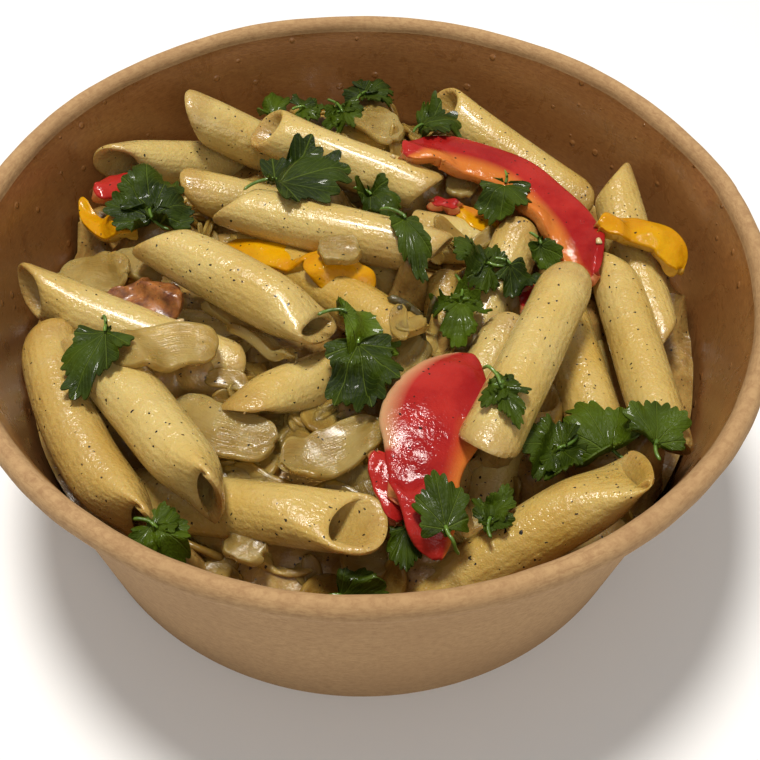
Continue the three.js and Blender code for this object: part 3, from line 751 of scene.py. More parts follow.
def new_grid(name, columns, rows):
    """A grid whose points run from 0 to 1 in two directions, returned with those two numbers."""
    bpy.ops.object.select_all(action="DESELECT")
    bpy.ops.mesh.primitive_grid_add(x_subdivisions=columns, y_subdivisions=rows, size=2)
    piece = bpy.context.object
    piece.name = piece.data.name = name
    places = points_of(piece)
    return piece, (places[:, 0] + 1) / 2, (places[:, 1] + 1) / 2


def merge_seam(piece):
    bpy.context.view_layer.objects.active = piece
    bpy.ops.object.mode_set(mode="EDIT")
    bpy.ops.mesh.select_all(action="SELECT")
    bpy.ops.mesh.remove_doubles(threshold=2e-6)
    bpy.ops.mesh.normals_make_consistent(inside=False)
    bpy.ops.object.mode_set(mode="OBJECT")


def apply_modifier(piece, kind, **settings):
    bpy.context.view_layer.objects.active = piece
    modifier = piece.modifiers.new(kind.lower(), kind)
    for key, value in settings.items():
        setattr(modifier, key, value)
    bpy.ops.object.modifier_apply(modifier=modifier.name)


def set_number(piece, name, values):
    """A number for each point of the mesh, which a finish reads as an attribute."""
    count = len(piece.data.vertices)
    attribute = piece.data.attributes.new(name, "FLOAT", "POINT")
    attribute.data.foreach_set("value", np.broadcast_to(values, count).astype(np.float32))


def keep_inside(places):
    """Press points that would pass through the bowl's wall flat against it."""
    radius = np.hypot(places[:, 0], places[:, 1])
    allowed = inner_radius(places[:, 2]) - GAP
    share = np.minimum(1, allowed / np.maximum(radius, 1e-6))
    return np.column_stack([places[:, 0] * share, places[:, 1] * share, places[:, 2]])


def stain_and_shade_of(row, places):
    """How brown each point is made: the underside, partly sauce stain and partly painted shade,
    both tips, and the browned spots, two of which are painted shade.
    """
    start, end, along, _, up = penne_frame(row)
    low = (places - (start + end) / 2) @ up / (row[6] / 2)
    middle = (places - start) @ along / np.linalg.norm(end - start)
    tips = TIP_STAIN * np.clip((np.abs(middle * 2 - 1) - 0.85) / 0.15, 0, 1)
    # The underside is made browner: partly sauce, partly painted shade.
    sauce_stain_and_shade = np.clip(-low * 0.55 - 0.1, 0, 0.6) + tips
    if row[0] in BROWNED_AND_SHADED:
        spot, size, amount = BROWNED_AND_SHADED[row[0]]
        sauce_stain_and_shade = sauce_stain_and_shade + amount * np.exp(-(np.linalg.norm(places - spot, axis=1) / size) ** 4)
    return np.minimum(sauce_stain_and_shade, 1)


def roll_penne(name, row, columns, rows, seed):
    """One penne, as a rolled sheet with slanted ends."""
    chance = random.Random(seed)
    start, end, along, aside, up = penne_frame(row)
    length = np.linalg.norm(end - start)
    radius = row[6] / 2
    piece, turn, share = new_grid(name, columns, rows)
    phi = turn * 2 * math.pi
    swell = 1
    for size, angle in ((0.025, share * 5), (0.02, phi * 2), (0.015, phi * 3 + share * 4)):
        swell = swell + size * np.sin(angle + chance.uniform(0, 6))
    off_up, off_side = np.cos(phi) * radius * swell, np.sin(phi) * radius * swell
    reach = []
    for end_name, (angle, slope) in (("a", row[4]), ("b", row[5])):
        lean_up, lean_side = math.cos(math.radians(angle)), math.sin(math.radians(angle))
        toward = off_up * lean_up + off_side * lean_side
        sideways = off_side * lean_up - off_up * lean_side
        away = (share if end_name == "a" else 1 - share) * length
        pinch = END_PINCH.get(row[0], OPEN_PINCH) if end_name in row[7] else CLOSED_PINCH
        reach.append(slope * toward * (SHUT_BLUNT if pinch > SHUT_FROM else BLUNT))
        pinch *= chance.uniform(0.85, 1.15) * np.exp(-(away / PINCH_REACH) ** 2)
        toward, sideways = toward * (1 - pinch), sideways * (1 + 0.4 * pinch)
        off_up = toward * lean_up - sideways * lean_side
        off_side = toward * lean_side + sideways * lean_up
    curl = 0.5 * chance.uniform(-1, 1) * np.sin(phi * 2 + chance.uniform(0, 6))
    run = reach[0] * (1 - share) + (length + reach[1] + curl) * share
    middle = run / length
    sag = (row[3] + 0.6 * chance.uniform(-1, 1)) * 4 * middle * (1 - middle)
    places = start + np.outer(run, along) + np.outer(off_side + sag, aside) + np.outer(off_up, up)
    places = keep_inside(places)
    move_points(piece, places * MM)
    merge_seam(piece)
    apply_modifier(piece, "SOLIDIFY", thickness=PENNE_WALL * MM, offset=-1)
    if columns >= AROUND:
        apply_modifier(piece, "SUBSURF", levels=1, render_levels=1)
    drawn_tone = chance.uniform(0.0, 0.85)
    set_number(piece, "tone", PENNE_TONES.get(row[0], drawn_tone))
    set_number(piece, "sauce_stain_and_shade", stain_and_shade_of(row, points_of(piece) / MM))
    return piece


def join(name, parts, finishes):
    bpy.ops.object.select_all(action="DESELECT")
    for part in parts:
        part.select_set(True)
    bpy.context.view_layer.objects.active = parts[0]
    if len(parts) > 1:
        bpy.ops.object.join()
    piece = bpy.context.object
    piece.name = piece.data.name = name
    for finish in finishes:
        if finish.name not in piece.data.materials:
            piece.data.materials.append(finish)
    smooth(piece, 60)
    return piece


rolled = [roll_penne(f"penne_{row[0]}", row, AROUND, ALONG, 100 + number)
          for number, row in enumerate(PENNE)]
penne_on_top = join("penne_on_top", rolled, [PASTA])
print("faces in the penne on top:", len(penne_on_top.data.polygons))

# %% [markdown]
# The strips and slices have the same rows as the CAD source: name, kind, points along the
# middle, widths there, thickness, and the penne that lie over them. Only the arc is 2 mm wider.

# %% Places of the strips and slices
SLICES = [
    ("onion_front_right", "onion", [(-3, -55, 39), (5, -57, 39)], (8, 7), 1.6, ()),
    ("onion_front_left", "onion", [(-22, -54, 41), (-16, -57, 41)], (6, 5), 1.6, ()),
    ("onion_centre_left", "onion", [(-34, -28, 43), (-26, -34, 44), (-15, -37, 44)],
     (9, 10, 9), 1.3, ()),
    ("onion_centre_right", "onion", [(-14, -41, 45), (-6, -39, 46), (3, -34, 46)],
     (7, 10, 7), 1.3, ()),
    ("onion_left_small", "onion", [(-51, 8, 46), (-46, 6, 47), (-40, 2, 46)],
     (6, 7, 5), 1.5, ("middle_left",)),
    ("onion_left_ragged", "onion", [(-61, 5, 45), (-54, 3, 47), (-46, 0, 47)],
     (6, 9, 8), 1.2, ("left_tip",)),
    ("onion_pink", "onion", [(17, 30, 46), (24, 28, 46)], (8, 9), 1.4, ()),
    ("onion_shred", "onion", [(11, -14, 46), (7, -20, 46), (4, -28, 47)], (4, 6, 4), 2, ()),
    ("pepper_yellow_left", "yellow", [(-60, 25, 46), (-57, 19, 46), (-52, 15, 46), (-46, 13, 46)],
     (2, 4, 4, 3), 2.6, ()),
    ("pepper_yellow_back", "yellow", [(19, 23, 44), (23, 20, 44), (28, 18, 43)],
     (4, 6, 5), 2.6, ()),
    ("pepper_red_bit", "red", [(14, 23, 46), (19, 22, 46)], (3, 3), 2.2, ()),
    ("pepper_red_chip", "red", [(32, 1, 44), (32, -5, 44)], (5, 4), 2.2, ()),
    ("tomato_chunk", "tomato", [(-50, -8, 47), (-42, -8, 49), (-34, -6, 48)],
     (8, 10, 7), 4, ("left_tip",)),
    ("pepper_red_left", "red", [(-57, 26, 48), (-51, 26, 50), (-45, 27, 49)],
     (6, 8, 6), 3, ("far_left",)),
    ("onion_under_left", "onion", [(-30, -5, 47), (-20, -13, 47), (-12, -21, 47)], (2.5, 3, 2.5), 2,
     ("middle_left",)),
    ("pepper_yellow_long", "yellow", [(-29, 12, 46), (-22, 9, 48), (-15, 6, 49), (-8, 4, 49)],
     (5, 8, 8, 6), 2.6, ("middle_top", "middle_left")),
    ("pepper_yellow_middle", "yellow", [(-12, 2, 49), (-5, -1, 50), (2, -4, 48)], (6, 9, 7), 2.6,
     ("middle_left", "middle_top")),
    ("onion_left_large", "onion", [(-45, -25, 51), (-38, -22, 53), (-31, -20, 53), (-26, -21, 51)],
     (7, 11, 10, 7), 1.6, ()),
    ("onion_back_petal", "onion", [(-1, 53, 50), (2, 46, 52), (6, 38, 53)], (5, 10, 6), 1.6, ()),
    ("onion_square", "onion", [(-9, 1, 53), (-1, 2, 53)], (6.5, 6.5), 2, ()),
    ("pepper_red_arc", "red", [(8, 29, 53), (14, 33, 54), (22, 32, 54), (31, 28, 53), (37, 21, 52),
                               (42, 11, 51), (44, 0, 48)],
     (9, 12, 12, 12, 12, 11, 7), 2.8, ("top_slanting",)),
    ("pepper_yellow_curl", "yellow", [(46, 11, 51), (53, 11, 53), (59, 8, 53), (62, 3, 49)],
     (7, 8, 8, 6), 2.6, ()),
    ("pepper_red_slab", "red", [(19, -20, 51), (14, -30, 54), (11, -39, 54), (10, -48, 52),
                                (11, -56, 50), (12, -61, 46)],
     (9, 17, 18, 12, 9, 4), 3, ("top_slanting", "front_rim")),
    ("pepper_red_fold", "red", [(2, -42, 49), (4, -48, 48), (6, -54, 46)], (4, 5, 4), 2.4, ()),
]
print("strips and slices placed:", len(SLICES))

# %% [markdown]
# The parsley rows are the CAD source's too: name, middle, width, length and the way the tip
# points, in degrees. The leaf on the slab is smaller. The last number is the tone, dark to bright.

# %% Places of the parsley
LEAVES = [
    ("back_large", (-11, 23, 55), 19, 18, 20, 0.0),
    ("left_sprig", (-44, 19, 51), 16, 18, 100, 0.15),
    ("back_upright", (-21, 57, 48), 6, 10, 80, 0.4),
    ("back_small", (-13, 53, 49), 9, 7, 10, 0.2),
    ("back_dark", (1, 59, 50), 12, 12, 50, 0.1),
    ("back_strand", (-5, 49, 48), 7, 12, -70, 0.3),
    ("back_over_bore", (16, 45, 52), 15, 9, 5, 0.2),
    ("by_onion", (3, 19, 52), 7, 10, -60, 0.2),
    ("curled_on_penne", (9, 2, 56), 5, 14, -75, 0.3),
    ("back_right", (28, 20, 49), 9, 10, -100, 0.2),
    ("centre_top", (22, 4, 50), 11, 11, 150, 0.2),
    ("centre_stem", (18, -8, 49), 8, 16, -95, 0.5),
    ("right_dark", (30, -1, 49), 7, 8, -50, 0.1),
    ("right_small", (36, 5, 48), 5, 9, -70, 0.3),
    ("centre_bright", (2, -14, 52), 14, 13, 10, 0.7),
    ("centre_dark", (0, -26, 49), 11, 15, -80, 0.15),
    ("left_dark", (-47, -26, 53), 10, 13, -110, 0.2),
    ("on_slanting", (23, -37, 58), 6, 12, -70, 0.4),
    ("right_bright", (40, -35, 49), 12, 13, 110, 0.6),
    ("right_low", (31, -40, 48), 11, 11, 190, 0.2),
    ("right_rim", (49, -37, 54), 9, 10, 80, 0.4),
    ("on_slab", (12, -54, 54), 7.5, 10, 100, 0.3),
    ("by_rim", (21, -53, 48), 6, 9, 60, 0.4),
    ("front_left", (-31, -57, 47), 9, 9, -30, 0.5),
    ("front_small", (0, -63.5, 42), 5, 8, 0, 0.3),
    ("front_dark", (7, -58, 44), 5, 9, -90, 0.2),
]
print("leaves placed:", len(LEAVES))

# %% [markdown]
# Under the pieces that can be told apart lie more penne, seen only through the gaps. They are
# drawn at random from one seed, and one that would come too near another is thrown away.

# %% Penne below
MORE_PENNE = 26
LOWER_AROUND, LOWER_ALONG = 24, 8
TRIES = 4000
FOOD_RADIUS = 60.0
CLEARANCE = 8.2
PROP_GAP = 1.0
PROP_REACH = 3.5
HILLS = [(6, -12, -38, 13), (9, -8, 54, 11), (3, 0, 0, 26)]
LUMPS = 1.3
EDGE_DROP = 2.6
PROPS = [(x, y, z - row[4] - PROP_GAP, max(row[3]) / 2) for row in SLICES for x, y, z in row[2]]
PROPS += [(*row[1][:2], row[1][2] - PROP_GAP, min(row[2:4]) / 2) for row in LEAVES]


def bed_height(x, y):
    """Height of the bed of small pasta, onion and sauce, the same rule as the CAD solid's."""
    base = BED_HEIGHT
    for rise, hill_x, hill_y, width in HILLS:
        base = base + rise * np.exp(-((x - hill_x) ** 2 + (y - hill_y) ** 2) / (2 * width ** 2))
    base = base + LUMPS * np.sin(x / 5.2 + 0.6) * np.cos(y / 6.1)
    base = base - EDGE_DROP * (np.hypot(x, y) / (FOOT_RADIUS - BOARD)) ** 4
    height = base
    for prop_x, prop_y, top, reach in PROPS:
        away = np.hypot(x - prop_x, y - prop_y) / max(reach, PROP_REACH)
        height = np.maximum(height, base + (top - base) * np.exp(-away ** 4))
    return height


def line_points(start, end, count=12):
    share = np.linspace(0, 1, count)[:, None]
    return np.asarray(start) * (1 - share) + np.asarray(end) * share


def draw_lower_penne():
    chance = random.Random(7)
    taken = [line_points(row[1], row[2]) for row in PENNE]
    chosen = []
    for _ in range(TRIES):
        turn, reach = chance.uniform(0, 2 * math.pi), FOOD_RADIUS * math.sqrt(chance.random())
        x, y = reach * math.cos(turn), reach * math.sin(turn)
        heading, slope = chance.uniform(0, math.pi), chance.uniform(-0.2, 0.2)
        half = chance.uniform(19, 23)
        centre = np.array((x, y, bed_height(x, y) - 4.5 - chance.uniform(0, 2)))
        step = np.array((math.cos(heading), math.sin(heading), slope)) * half
        line = line_points(centre - step, centre + step)
        if np.hypot(line[:, 0], line[:, 1]).max() > FOOD_RADIUS:
            continue
        nearest = min(np.linalg.norm(line[:, None] - other[None], axis=2).min() for other in taken)
        if nearest < CLEARANCE:
            continue
        taken.append(line)
        cuts = [(chance.uniform(0, 360), 1) for _ in range(2)]
        chosen.append(("below", tuple(centre - step), tuple(centre + step),
                       chance.uniform(-1.5, 1.5), *cuts, chance.uniform(9.4, 10.4), ""))
        if len(chosen) == MORE_PENNE:
            break
    return chosen


LOWER_PENNE = draw_lower_penne()
rolled = [roll_penne(f"penne_{number}", row, LOWER_AROUND, LOWER_ALONG, 300 + number)
          for number, row in enumerate(LOWER_PENNE)]
penne_below = join("penne_below", rolled, [PASTA])
print("penne below:", len(LOWER_PENNE))

# %% [markdown]
# The heap rests in a thick sauce of stewed onion. It fills the bowl up to the bed's height,
# as a disc of points lifted to that height with small lumps, closed by a wall and a floor.

# %% Sauce bed
BED_RINGS = 70
BED_SECTORS = 150
FLOOR_HEIGHT = FOOT_RECESS + FOOT_BAND + GAP
BED_EDGE_AT = 34
BED_MARGIN = 0.6
BED_SUNK = 2.2
TOP_SHARE = 0.85


def ripples(x, y):
    """Small irregular lumps, about as high as rice is thick."""
    return (0.5 * np.sin(x * 1.3 + 1.5 * np.sin(y * 0.7)) * np.cos(y * 1.1 + np.sin(x * 0.9))
            + 0.3 * np.sin(x * 2.9 + y * 1.7) * np.cos(y * 2.3 - x * 0.6))


def sauce_bed():
    bed, turn, share = new_grid("sauce_bed", BED_SECTORS, BED_RINGS)
    phi = turn * 2 * math.pi
    top = np.clip(share / TOP_SHARE, 0, 1)
    down = np.clip((share - TOP_SHARE) / (1 - TOP_SHARE), 0, 1)
    radius = np.where(down > 0.5, 2 * (1 - down), 1) * np.where(share <= TOP_SHARE, top, 1)
    radius = radius * (inner_radius(BED_EDGE_AT) - BED_MARGIN)
    foot = inner_radius(FLOOR_HEIGHT) - BED_MARGIN
    radius = np.where(down > 0, np.minimum(radius, foot), radius)
    x, y = radius * np.cos(phi), radius * np.sin(phi)
    lifted = bed_height(x, y) - BED_SUNK + ripples(x, y)
    wall = np.maximum(FLOOR_HEIGHT, lifted * (1 - np.clip(down * 2, 0, 1)))
    z = np.where(down > 0, wall, lifted)
    move_points(bed, np.column_stack([x, y, z]) * MM)
    merge_seam(bed)
    return join("sauce_bed", [bed], [WET["onion_sauce"]])


stands_for(penne_on_top, "pasta", "pasta_heap")
stands_for(penne_below, "pasta", "pasta_heap")
sauce = stands_for(sauce_bed(), "pasta", "pasta_heap")
print("heap made")

# %% [markdown]
# Strips, slices and leaves are limp, so each lies on what is under it. A map of heights over
# the bowl, in square cells, holds the tops of the bed and of each penne. A topping reads the
# map, and then adds its own top to it for the next one, lowest first.

# %% Map of heights
CELL = 0.5
SPAN = 80.0
RISE = 3.0
ticks = np.arange(-SPAN, SPAN + CELL, CELL)
GRID_X, GRID_Y = np.meshgrid(ticks, ticks, indexing="ij")


def penne_top(row):
    """Height of one penne's top over the grid, and 0 beside it."""
    start, end, _, aside, _ = penne_frame(row)
    radius = row[6] / 2 + GAP
    top = np.zeros_like(GRID_X)
    for share in np.linspace(0, 1, 33):
        centre = start * (1 - share) + end * share + aside * row[3] * 4 * share * (1 - share)
        away = (GRID_X - centre[0]) ** 2 + (GRID_Y - centre[1]) ** 2
        cap = centre[2] + np.sqrt(np.maximum(radius ** 2 - away, 0))
        top = np.maximum(top, np.where(away < radius ** 2, cap, 0))
    return top


PENNE_TOPS = {row[0]: penne_top(row) for row in PENNE}
BED_TOP = bed_height(GRID_X, GRID_Y) + GAP
laid = np.zeros_like(GRID_X)


def spread(heights, reach):
    """The highest value within a reach, looked up in eight directions."""
    highest = heights.copy()
    for turn in range(8):
        step = reach / CELL
        dx = round(step * math.cos(turn * math.pi / 4))
        dy = round(step * math.sin(turn * math.pi / 4))
        highest = np.maximum(highest, np.roll(heights, (dx, dy), (0, 1)))
    return highest


def blur(heights, count):
    for _ in range(count):
        for axis in (0, 1):
            heights = (np.roll(heights, 1, axis) + heights * 2 + np.roll(heights, -1, axis)) / 4
    return heights


def resting(over, reach):
    """Where a limp piece lies: on the highest thing near, partly bridging the gaps."""
    top = np.maximum(BED_TOP, laid)
    for name, heights in PENNE_TOPS.items():
        if name not in over:
            top = np.maximum(top, heights)
    near = spread(top, 0.8)
    return blur(near + 0.6 * (spread(top, reach) - near), 3) + GAP


def sample(heights, x, y):
    """Read the map between its cells."""
    u, v = (x + SPAN) / CELL, (y + SPAN) / CELL
    i, j = np.floor(u).astype(int), np.floor(v).astype(int)
    s, t = u - i, v - j
    low = heights[i, j] * (1 - s) + heights[i + 1, j] * s
    high = heights[i, j + 1] * (1 - s) + heights[i + 1, j + 1] * s
    return low * (1 - t) + high * t


def mark_laid(places):
    i = np.round((places[:, 0] + SPAN) / CELL).astype(int)
    j = np.round((places[:, 1] + SPAN) / CELL).astype(int)
    for dx in (-1, 0, 1):
        for dy in (-1, 0, 1):
            np.maximum.at(laid, (i + dx, j + dy), places[:, 2] + GAP)


print("map cells:", GRID_X.size)

# %% [markdown]
# Each kind of topping has a finish for its skin, its underside and its cut edge. Where a strip
# shows its flesh on top too, a side, a start across it and a stretch along it say where.

# %% Finishes of the toppings
FINISHES = {"red": [WET[f"red_pepper_{part}"] for part in ("skin", "flesh", "cut")],
            "yellow": [WET[f"yellow_pepper_{part}"] for part in ("skin", "flesh", "flesh")],
            "onion": [ONION] * 3, "tomato": [WET["stewed_tomato"]] * 3}
SLOTS = {"red": "red_pepper", "yellow": "yellow_pepper", "onion": "onion", "tomato": "tomato"}
SHOWN_FLESH = {"pepper_red_arc": {"orange": (-1, 0.15, 0.0, 1.0)},
               "pepper_red_slab": {"orange": (1, 0.5, 0.3, 1.0), "beige": (-1, 0.58, 0.0, 0.5)},
               "pepper_yellow_back": {"orange": (1, 0.0, 0.0, 1.0)}}
FLESH_BLEND = 0.4
STRIP_CELL, STRIP_ROWS = 0.9, 14
STRIP_BRIDGES, LEAF_BRIDGES = 3, 2
CURLS = {"red": -0.07, "yellow": -0.08, "onion": 0.02, "tomato": -0.10}
print("kinds of topping:", len(FINISHES))

# %% [markdown]
# A strip is a grid bent along a smooth curve through its points and laid on the map. The
# edges wander a little, as a knife and cooking leave them. Solidify makes the slab, giving
# its underside and its cut edge their own finishes, and a subdivision rounds it.

# %% Strips and slices
def through(points, share):
    """Centripetal Catmull-Rom curve through points: the place at each share of its way."""
    points = np.array(points, float)
    ends = [2 * points[0] - points[1], *points, 2 * points[-1] - points[-2]]
    spot = np.clip(share * (len(points) - 1), 0, len(points) - 1 - 1e-9)
    leg = spot.astype(int)
    t = (spot - leg)[:, None]
    p0, p1, p2, p3 = (np.array(ends)[leg + k] for k in range(4))
    d0, d1, d2 = (np.maximum(np.linalg.norm(b - a, axis=1, keepdims=True), 1e-6) ** 0.5
                  for a, b in ((p0, p1), (p1, p2), (p2, p3)))
    t1 = ((p1 - p0) / d0 - (p2 - p0) / (d0 + d1) + (p2 - p1) / d1) * d1
    t2 = ((p2 - p1) / d1 - (p3 - p1) / (d1 + d2) + (p3 - p2) / d2) * d1
    return p1 + t1 * t + (3 * (p2 - p1) - 2 * t1 - t2) * t ** 2 + (2 * (p1 - p2) + t1 + t2) * t ** 3


def heading_along(points, share, step):
    """The direction in which the curve runs at each share of its way."""
    after = through(points, np.clip(share + step, 0, 1))
    return after - through(points, np.clip(share - step, 0, 1))


def unit(arrows):
    return arrows / np.maximum(np.linalg.norm(arrows, axis=1, keepdims=True), 1e-6)


def strip(row, seed):
    name, kind, points, widths, thickness, over = row
    chance = random.Random(seed)
    length = sum(math.dist(a, b) for a, b in zip(points, points[1:]))
    columns = max(12, round(length / STRIP_CELL))
    piece, share, side = new_grid(f"{name}_piece", columns, STRIP_ROWS)
    across = side * 2 - 1
    middle = through(points, share)
    ahead = unit(heading_along(points, share, 0.01) * (1, 1, 0))
    width = np.interp(share, np.linspace(0, 1, len(widths)), widths)
    width *= np.sqrt(np.clip(1.02 - np.abs(2 * share - 1) ** 7, 0.02, 1))
    phases = [chance.uniform(0, 6) for _ in range(6)]
    wander = 0.05 * np.sin(share * 9 + phases[0] + across)
    wander += 0.04 * np.sin(share * 23 + phases[1] + across * 2)
    off = across * width / 2 * (1 + wander)
    x = middle[:, 0] - ahead[:, 1] * off
    y = middle[:, 1] + ahead[:, 0] * off
    lowest = middle[:, 2] - thickness
    rest = np.clip(sample(resting(over, STRIP_BRIDGES), x, y), lowest, lowest + RISE)
    arch = CURLS[kind] * width * across ** 2
    limp = 0.4 if kind == "onion" else 1.0
    waves = 0.35 * limp * np.sin(share * 7 + phases[2]) * np.sin(across * 2 + phases[3])
    waves += 0.14 * limp * np.sin(share * 17 + phases[4]) * np.cos(across * 4 + phases[5])
    places = np.column_stack([x, y, rest + thickness + arch + waves])
    mark_laid(places)
    move_points(piece, places * MM)
    for flesh, (side_sign, start, first, last) in SHOWN_FLESH.get(name, {}).items():
        shown = np.clip((across * side_sign - start) / FLESH_BLEND, 0, 1)
        set_number(piece, flesh, shown * (share > first) * (share < last))
    for finish in FINISHES[kind]:
        piece.data.materials.append(finish)
    apply_modifier(piece, "SOLIDIFY", thickness=thickness * MM, offset=-1, material_offset=1,
                   material_offset_rim=2)
    apply_modifier(piece, "SUBSURF", levels=1, render_levels=1)
    smooth(piece, 180)
    return stands_for(piece, SLOTS[kind], name)


strips = [strip(row, 500 + number) for number, row in enumerate(SLICES)]
print("strips and slices:", len(strips))

# %% [markdown]
# A flat parsley leaflet fans out from its foot in five lobes, each with three round teeth.
# The outline is the longest lobe in each direction. The leaflet is a disc of rings drawn out
# to that outline, laid on the map and ruffled towards its edge. A sprig has three of them.

# %% Parsley
LOBES = [(0, 1.0), (39, 0.86), (-39, 0.86), (78, 0.62), (-78, 0.62)]
LOBE_REACH = math.radians(21.5)
LEAF_FOOT = -0.85
LEAF_REACH = 1.85
LEAF_MAP = 4.4
LEAF_THICKNESS = 0.3
LEAF_SECTORS = 150
LEAF_RINGS = 12
STEM_RADIUS = 0.32
STRAND_SIDES = 8
ONE_LEAFLET = [(0.0, 0.0, 1.0, 0)]
THREE_LEAFLETS = [(0.38, 0.0, 0.68, 0), (-0.25, 0.48, 0.58, 58), (-0.25, -0.48, 0.58, -58)]
SPRIGS = ("left_sprig", "back_dark", "back_strand", "centre_top", "centre_stem", "right_low",
          "on_slanting", "by_rim", "back_small", "front_left")


def leaf_outline(theta, chance):
    """How far the leaflet reaches from its foot in each direction, from 0 to 1."""
    reach = np.full_like(theta, 0.10)
    for degrees, size in LOBES:
        off = ((theta - math.radians(degrees) + math.pi) % (2 * math.pi) - math.pi) / LOBE_REACH
        size *= chance.uniform(0.9, 1.08)
        teeth = 0.89 + 0.11 * np.abs(np.cos(1.5 * math.pi * off))
        lobe = size * teeth * np.clip(1 - 0.04 * off ** 2 - 0.24 * off ** 6, 0, None)
        reach = np.maximum(reach, lobe * (np.abs(off) < 1.08))
    return reach


def leaflet(name, middle, width, length, heading, lowest, highest, tone, seed):
    """One leaflet laid on the map; also returns the place of its foot."""
    chance = random.Random(seed)
    piece, turn, rho = new_grid(name, LEAF_SECTORS, LEAF_RINGS)
    theta = turn * 2 * math.pi - math.pi
    rho = np.maximum(rho, 0.002)
    reach = leaf_outline(theta, chance) * rho * LEAF_REACH
    ahead, aside = reach * np.cos(theta), reach * np.sin(theta)
    flat = np.column_stack([ahead / LEAF_MAP + 0.5, aside / LEAF_MAP + 0.5])
    long, wide = (ahead + LEAF_FOOT) * length / 2, aside * width / 2
    x = middle[0] + long * math.cos(heading) - wide * math.sin(heading)
    y = middle[1] + long * math.sin(heading) + wide * math.cos(heading)
    rest = np.clip(sample(resting((), LEAF_BRIDGES), x, y), lowest, highest)
    phases = [chance.uniform(0, 6) for _ in range(4)]
    ruffle = 0.6 * np.sin(theta * 5 + phases[0]) * rho ** 2
    ruffle += 0.25 * np.sin(theta * 14 + phases[1]) * rho ** 3
    fold = 1.1 * np.abs(np.sin(theta * 1.5 + phases[2])) * rho * min(width, length) / 14
    places = keep_inside(np.column_stack([x, y, rest + 0.4 + ruffle + fold]))
    layer = piece.data.uv_layers.active.data
    corners = np.empty(len(piece.data.loops), int)
    piece.data.loops.foreach_get("vertex_index", corners)
    layer.foreach_set("uv", flat[corners].ravel())
    move_points(piece, places * MM)
    merge_seam(piece)
    apply_modifier(piece, "SOLIDIFY", thickness=LEAF_THICKNESS * MM, offset=-1)
    set_number(piece, "tone", tone)
    piece.data.materials.append(PARSLEY)
    return piece, places, places[np.argmin(rho)]


def leaf(row, seed):
    name, middle, width, length, tip, tone = row
    chance = random.Random(seed)
    heading = math.radians(tip)
    parts, laid_places, feet = [], [], []
    leaflets = THREE_LEAFLETS if name in SPRIGS else ONE_LEAFLET
    for number, (ahead, aside, size, turn) in enumerate(leaflets):
        x = middle[0] + (ahead * math.cos(heading) * length - aside * math.sin(heading) * width) / 2
        y = middle[1] + (ahead * math.sin(heading) * length + aside * math.cos(heading) * width) / 2
        shade = min(1, max(0, tone + chance.uniform(-0.12, 0.12) * (number > 0)))
        part, places, foot = leaflet(f"{name}_{number}", (x, y), width * size, length * size,
                                     heading + math.radians(turn), middle[2] - RISE,
                                     middle[2] + RISE, shade, seed * 10 + number)
        parts.append(part)
        laid_places.append(places)
        feet.append(foot)
    for places in laid_places:
        mark_laid(places)
    base = np.mean(feet, axis=0)
    route = stem_route(base, heading + math.pi + chance.uniform(-0.5, 0.5), length * 0.4)
    stems = [tube(f"{name}_twig", [foot, (foot + base) / 2, base], STEM_RADIUS * 0.8)
             for foot in feet[1:]]
    stems.append(tube(f"{name}_stem", [feet[0], *route], STEM_RADIUS))
    for stem in stems:
        stem.data.materials.append(STEM)
    parts += stems
    joined = join(f"parsley_{name}_leaf", parts, [])
    return stands_for(joined, "parsley", f"parsley_{name}")


def tube(name, route, radius):
    """A closed round strand along a route of points, in mm, with both tips drawn in."""
    route = np.asarray(route, float)
    piece, turn, share = new_grid(name, STRAND_SIDES, len(route) * 2)
    middle = through(route, share)
    ahead = unit(heading_along(route, share, 0.02))
    aside = unit(np.cross(ahead, (0, 0, 1)))
    up = np.cross(aside, ahead)
    phi = (turn * 2 * math.pi)[:, None]
    tips = np.sqrt(np.clip(1 - np.abs(2 * share - 1) ** 12, 0, 1))[:, None]
    places = middle + (np.cos(phi) * up + np.sin(phi) * aside) * radius * tips
    move_points(piece, places * MM)
    merge_seam(piece)
    return piece


def stem_route(base, heading, length):
    lying = resting((), LEAF_BRIDGES)
    route = []
    for share in np.linspace(0, 1, 6):
        x = base[0] + math.cos(heading + share * 0.5) * length * share
        y = base[1] + math.sin(heading + share * 0.5) * length * share
        level = float(sample(lying, np.array([x]), np.array([y]))[0])
        route.append((x, y, min(max(level, base[2] - 2.5), base[2] + 0.5) + 0.2))
    return route


leaves = [leaf(row, 700 + number) for number, row in enumerate(LEAVES)]
print("parsley leaves:", len(leaves))

# %% [markdown]
# Between the named pieces lie many small ones. Each kind is one piece, joined from copies of a
# small shape. A copy is dropped straight down onto what is there, and tilted as that slopes.
# Onion falls only into the gaps, and not where a named piece is seen close to the sauce.

# %% Laying copies of a small shape
LOOSE_RADIUS = 61.0
TRIES_EACH = 60
DROP_HEIGHT = 100.0
SUNK = 0.55 * MM
KEEP_CLEAR = [(-24, 9, 8), (-12, 3, 9), (-3, -2, 10), (-42, -8, 9), (-35, -23, 9), (-48, -2, 7),
              (-10, -40, 7), (20, 22, 6)]


def landing_tree(pieces):
    """A tree of all the faces made so far, and which piece each face belongs to."""
    places, faces, owners = [], [], []
    for piece in pieces:
        start = len(places)
        places += [tuple(vertex.co) for vertex in piece.data.vertices]
        faces += [[start + index for index in face.vertices] for face in piece.data.polygons]
        owners += [piece.name] * len(piece.data.polygons)
    return BVHTree.FromPolygons(places, faces), owners


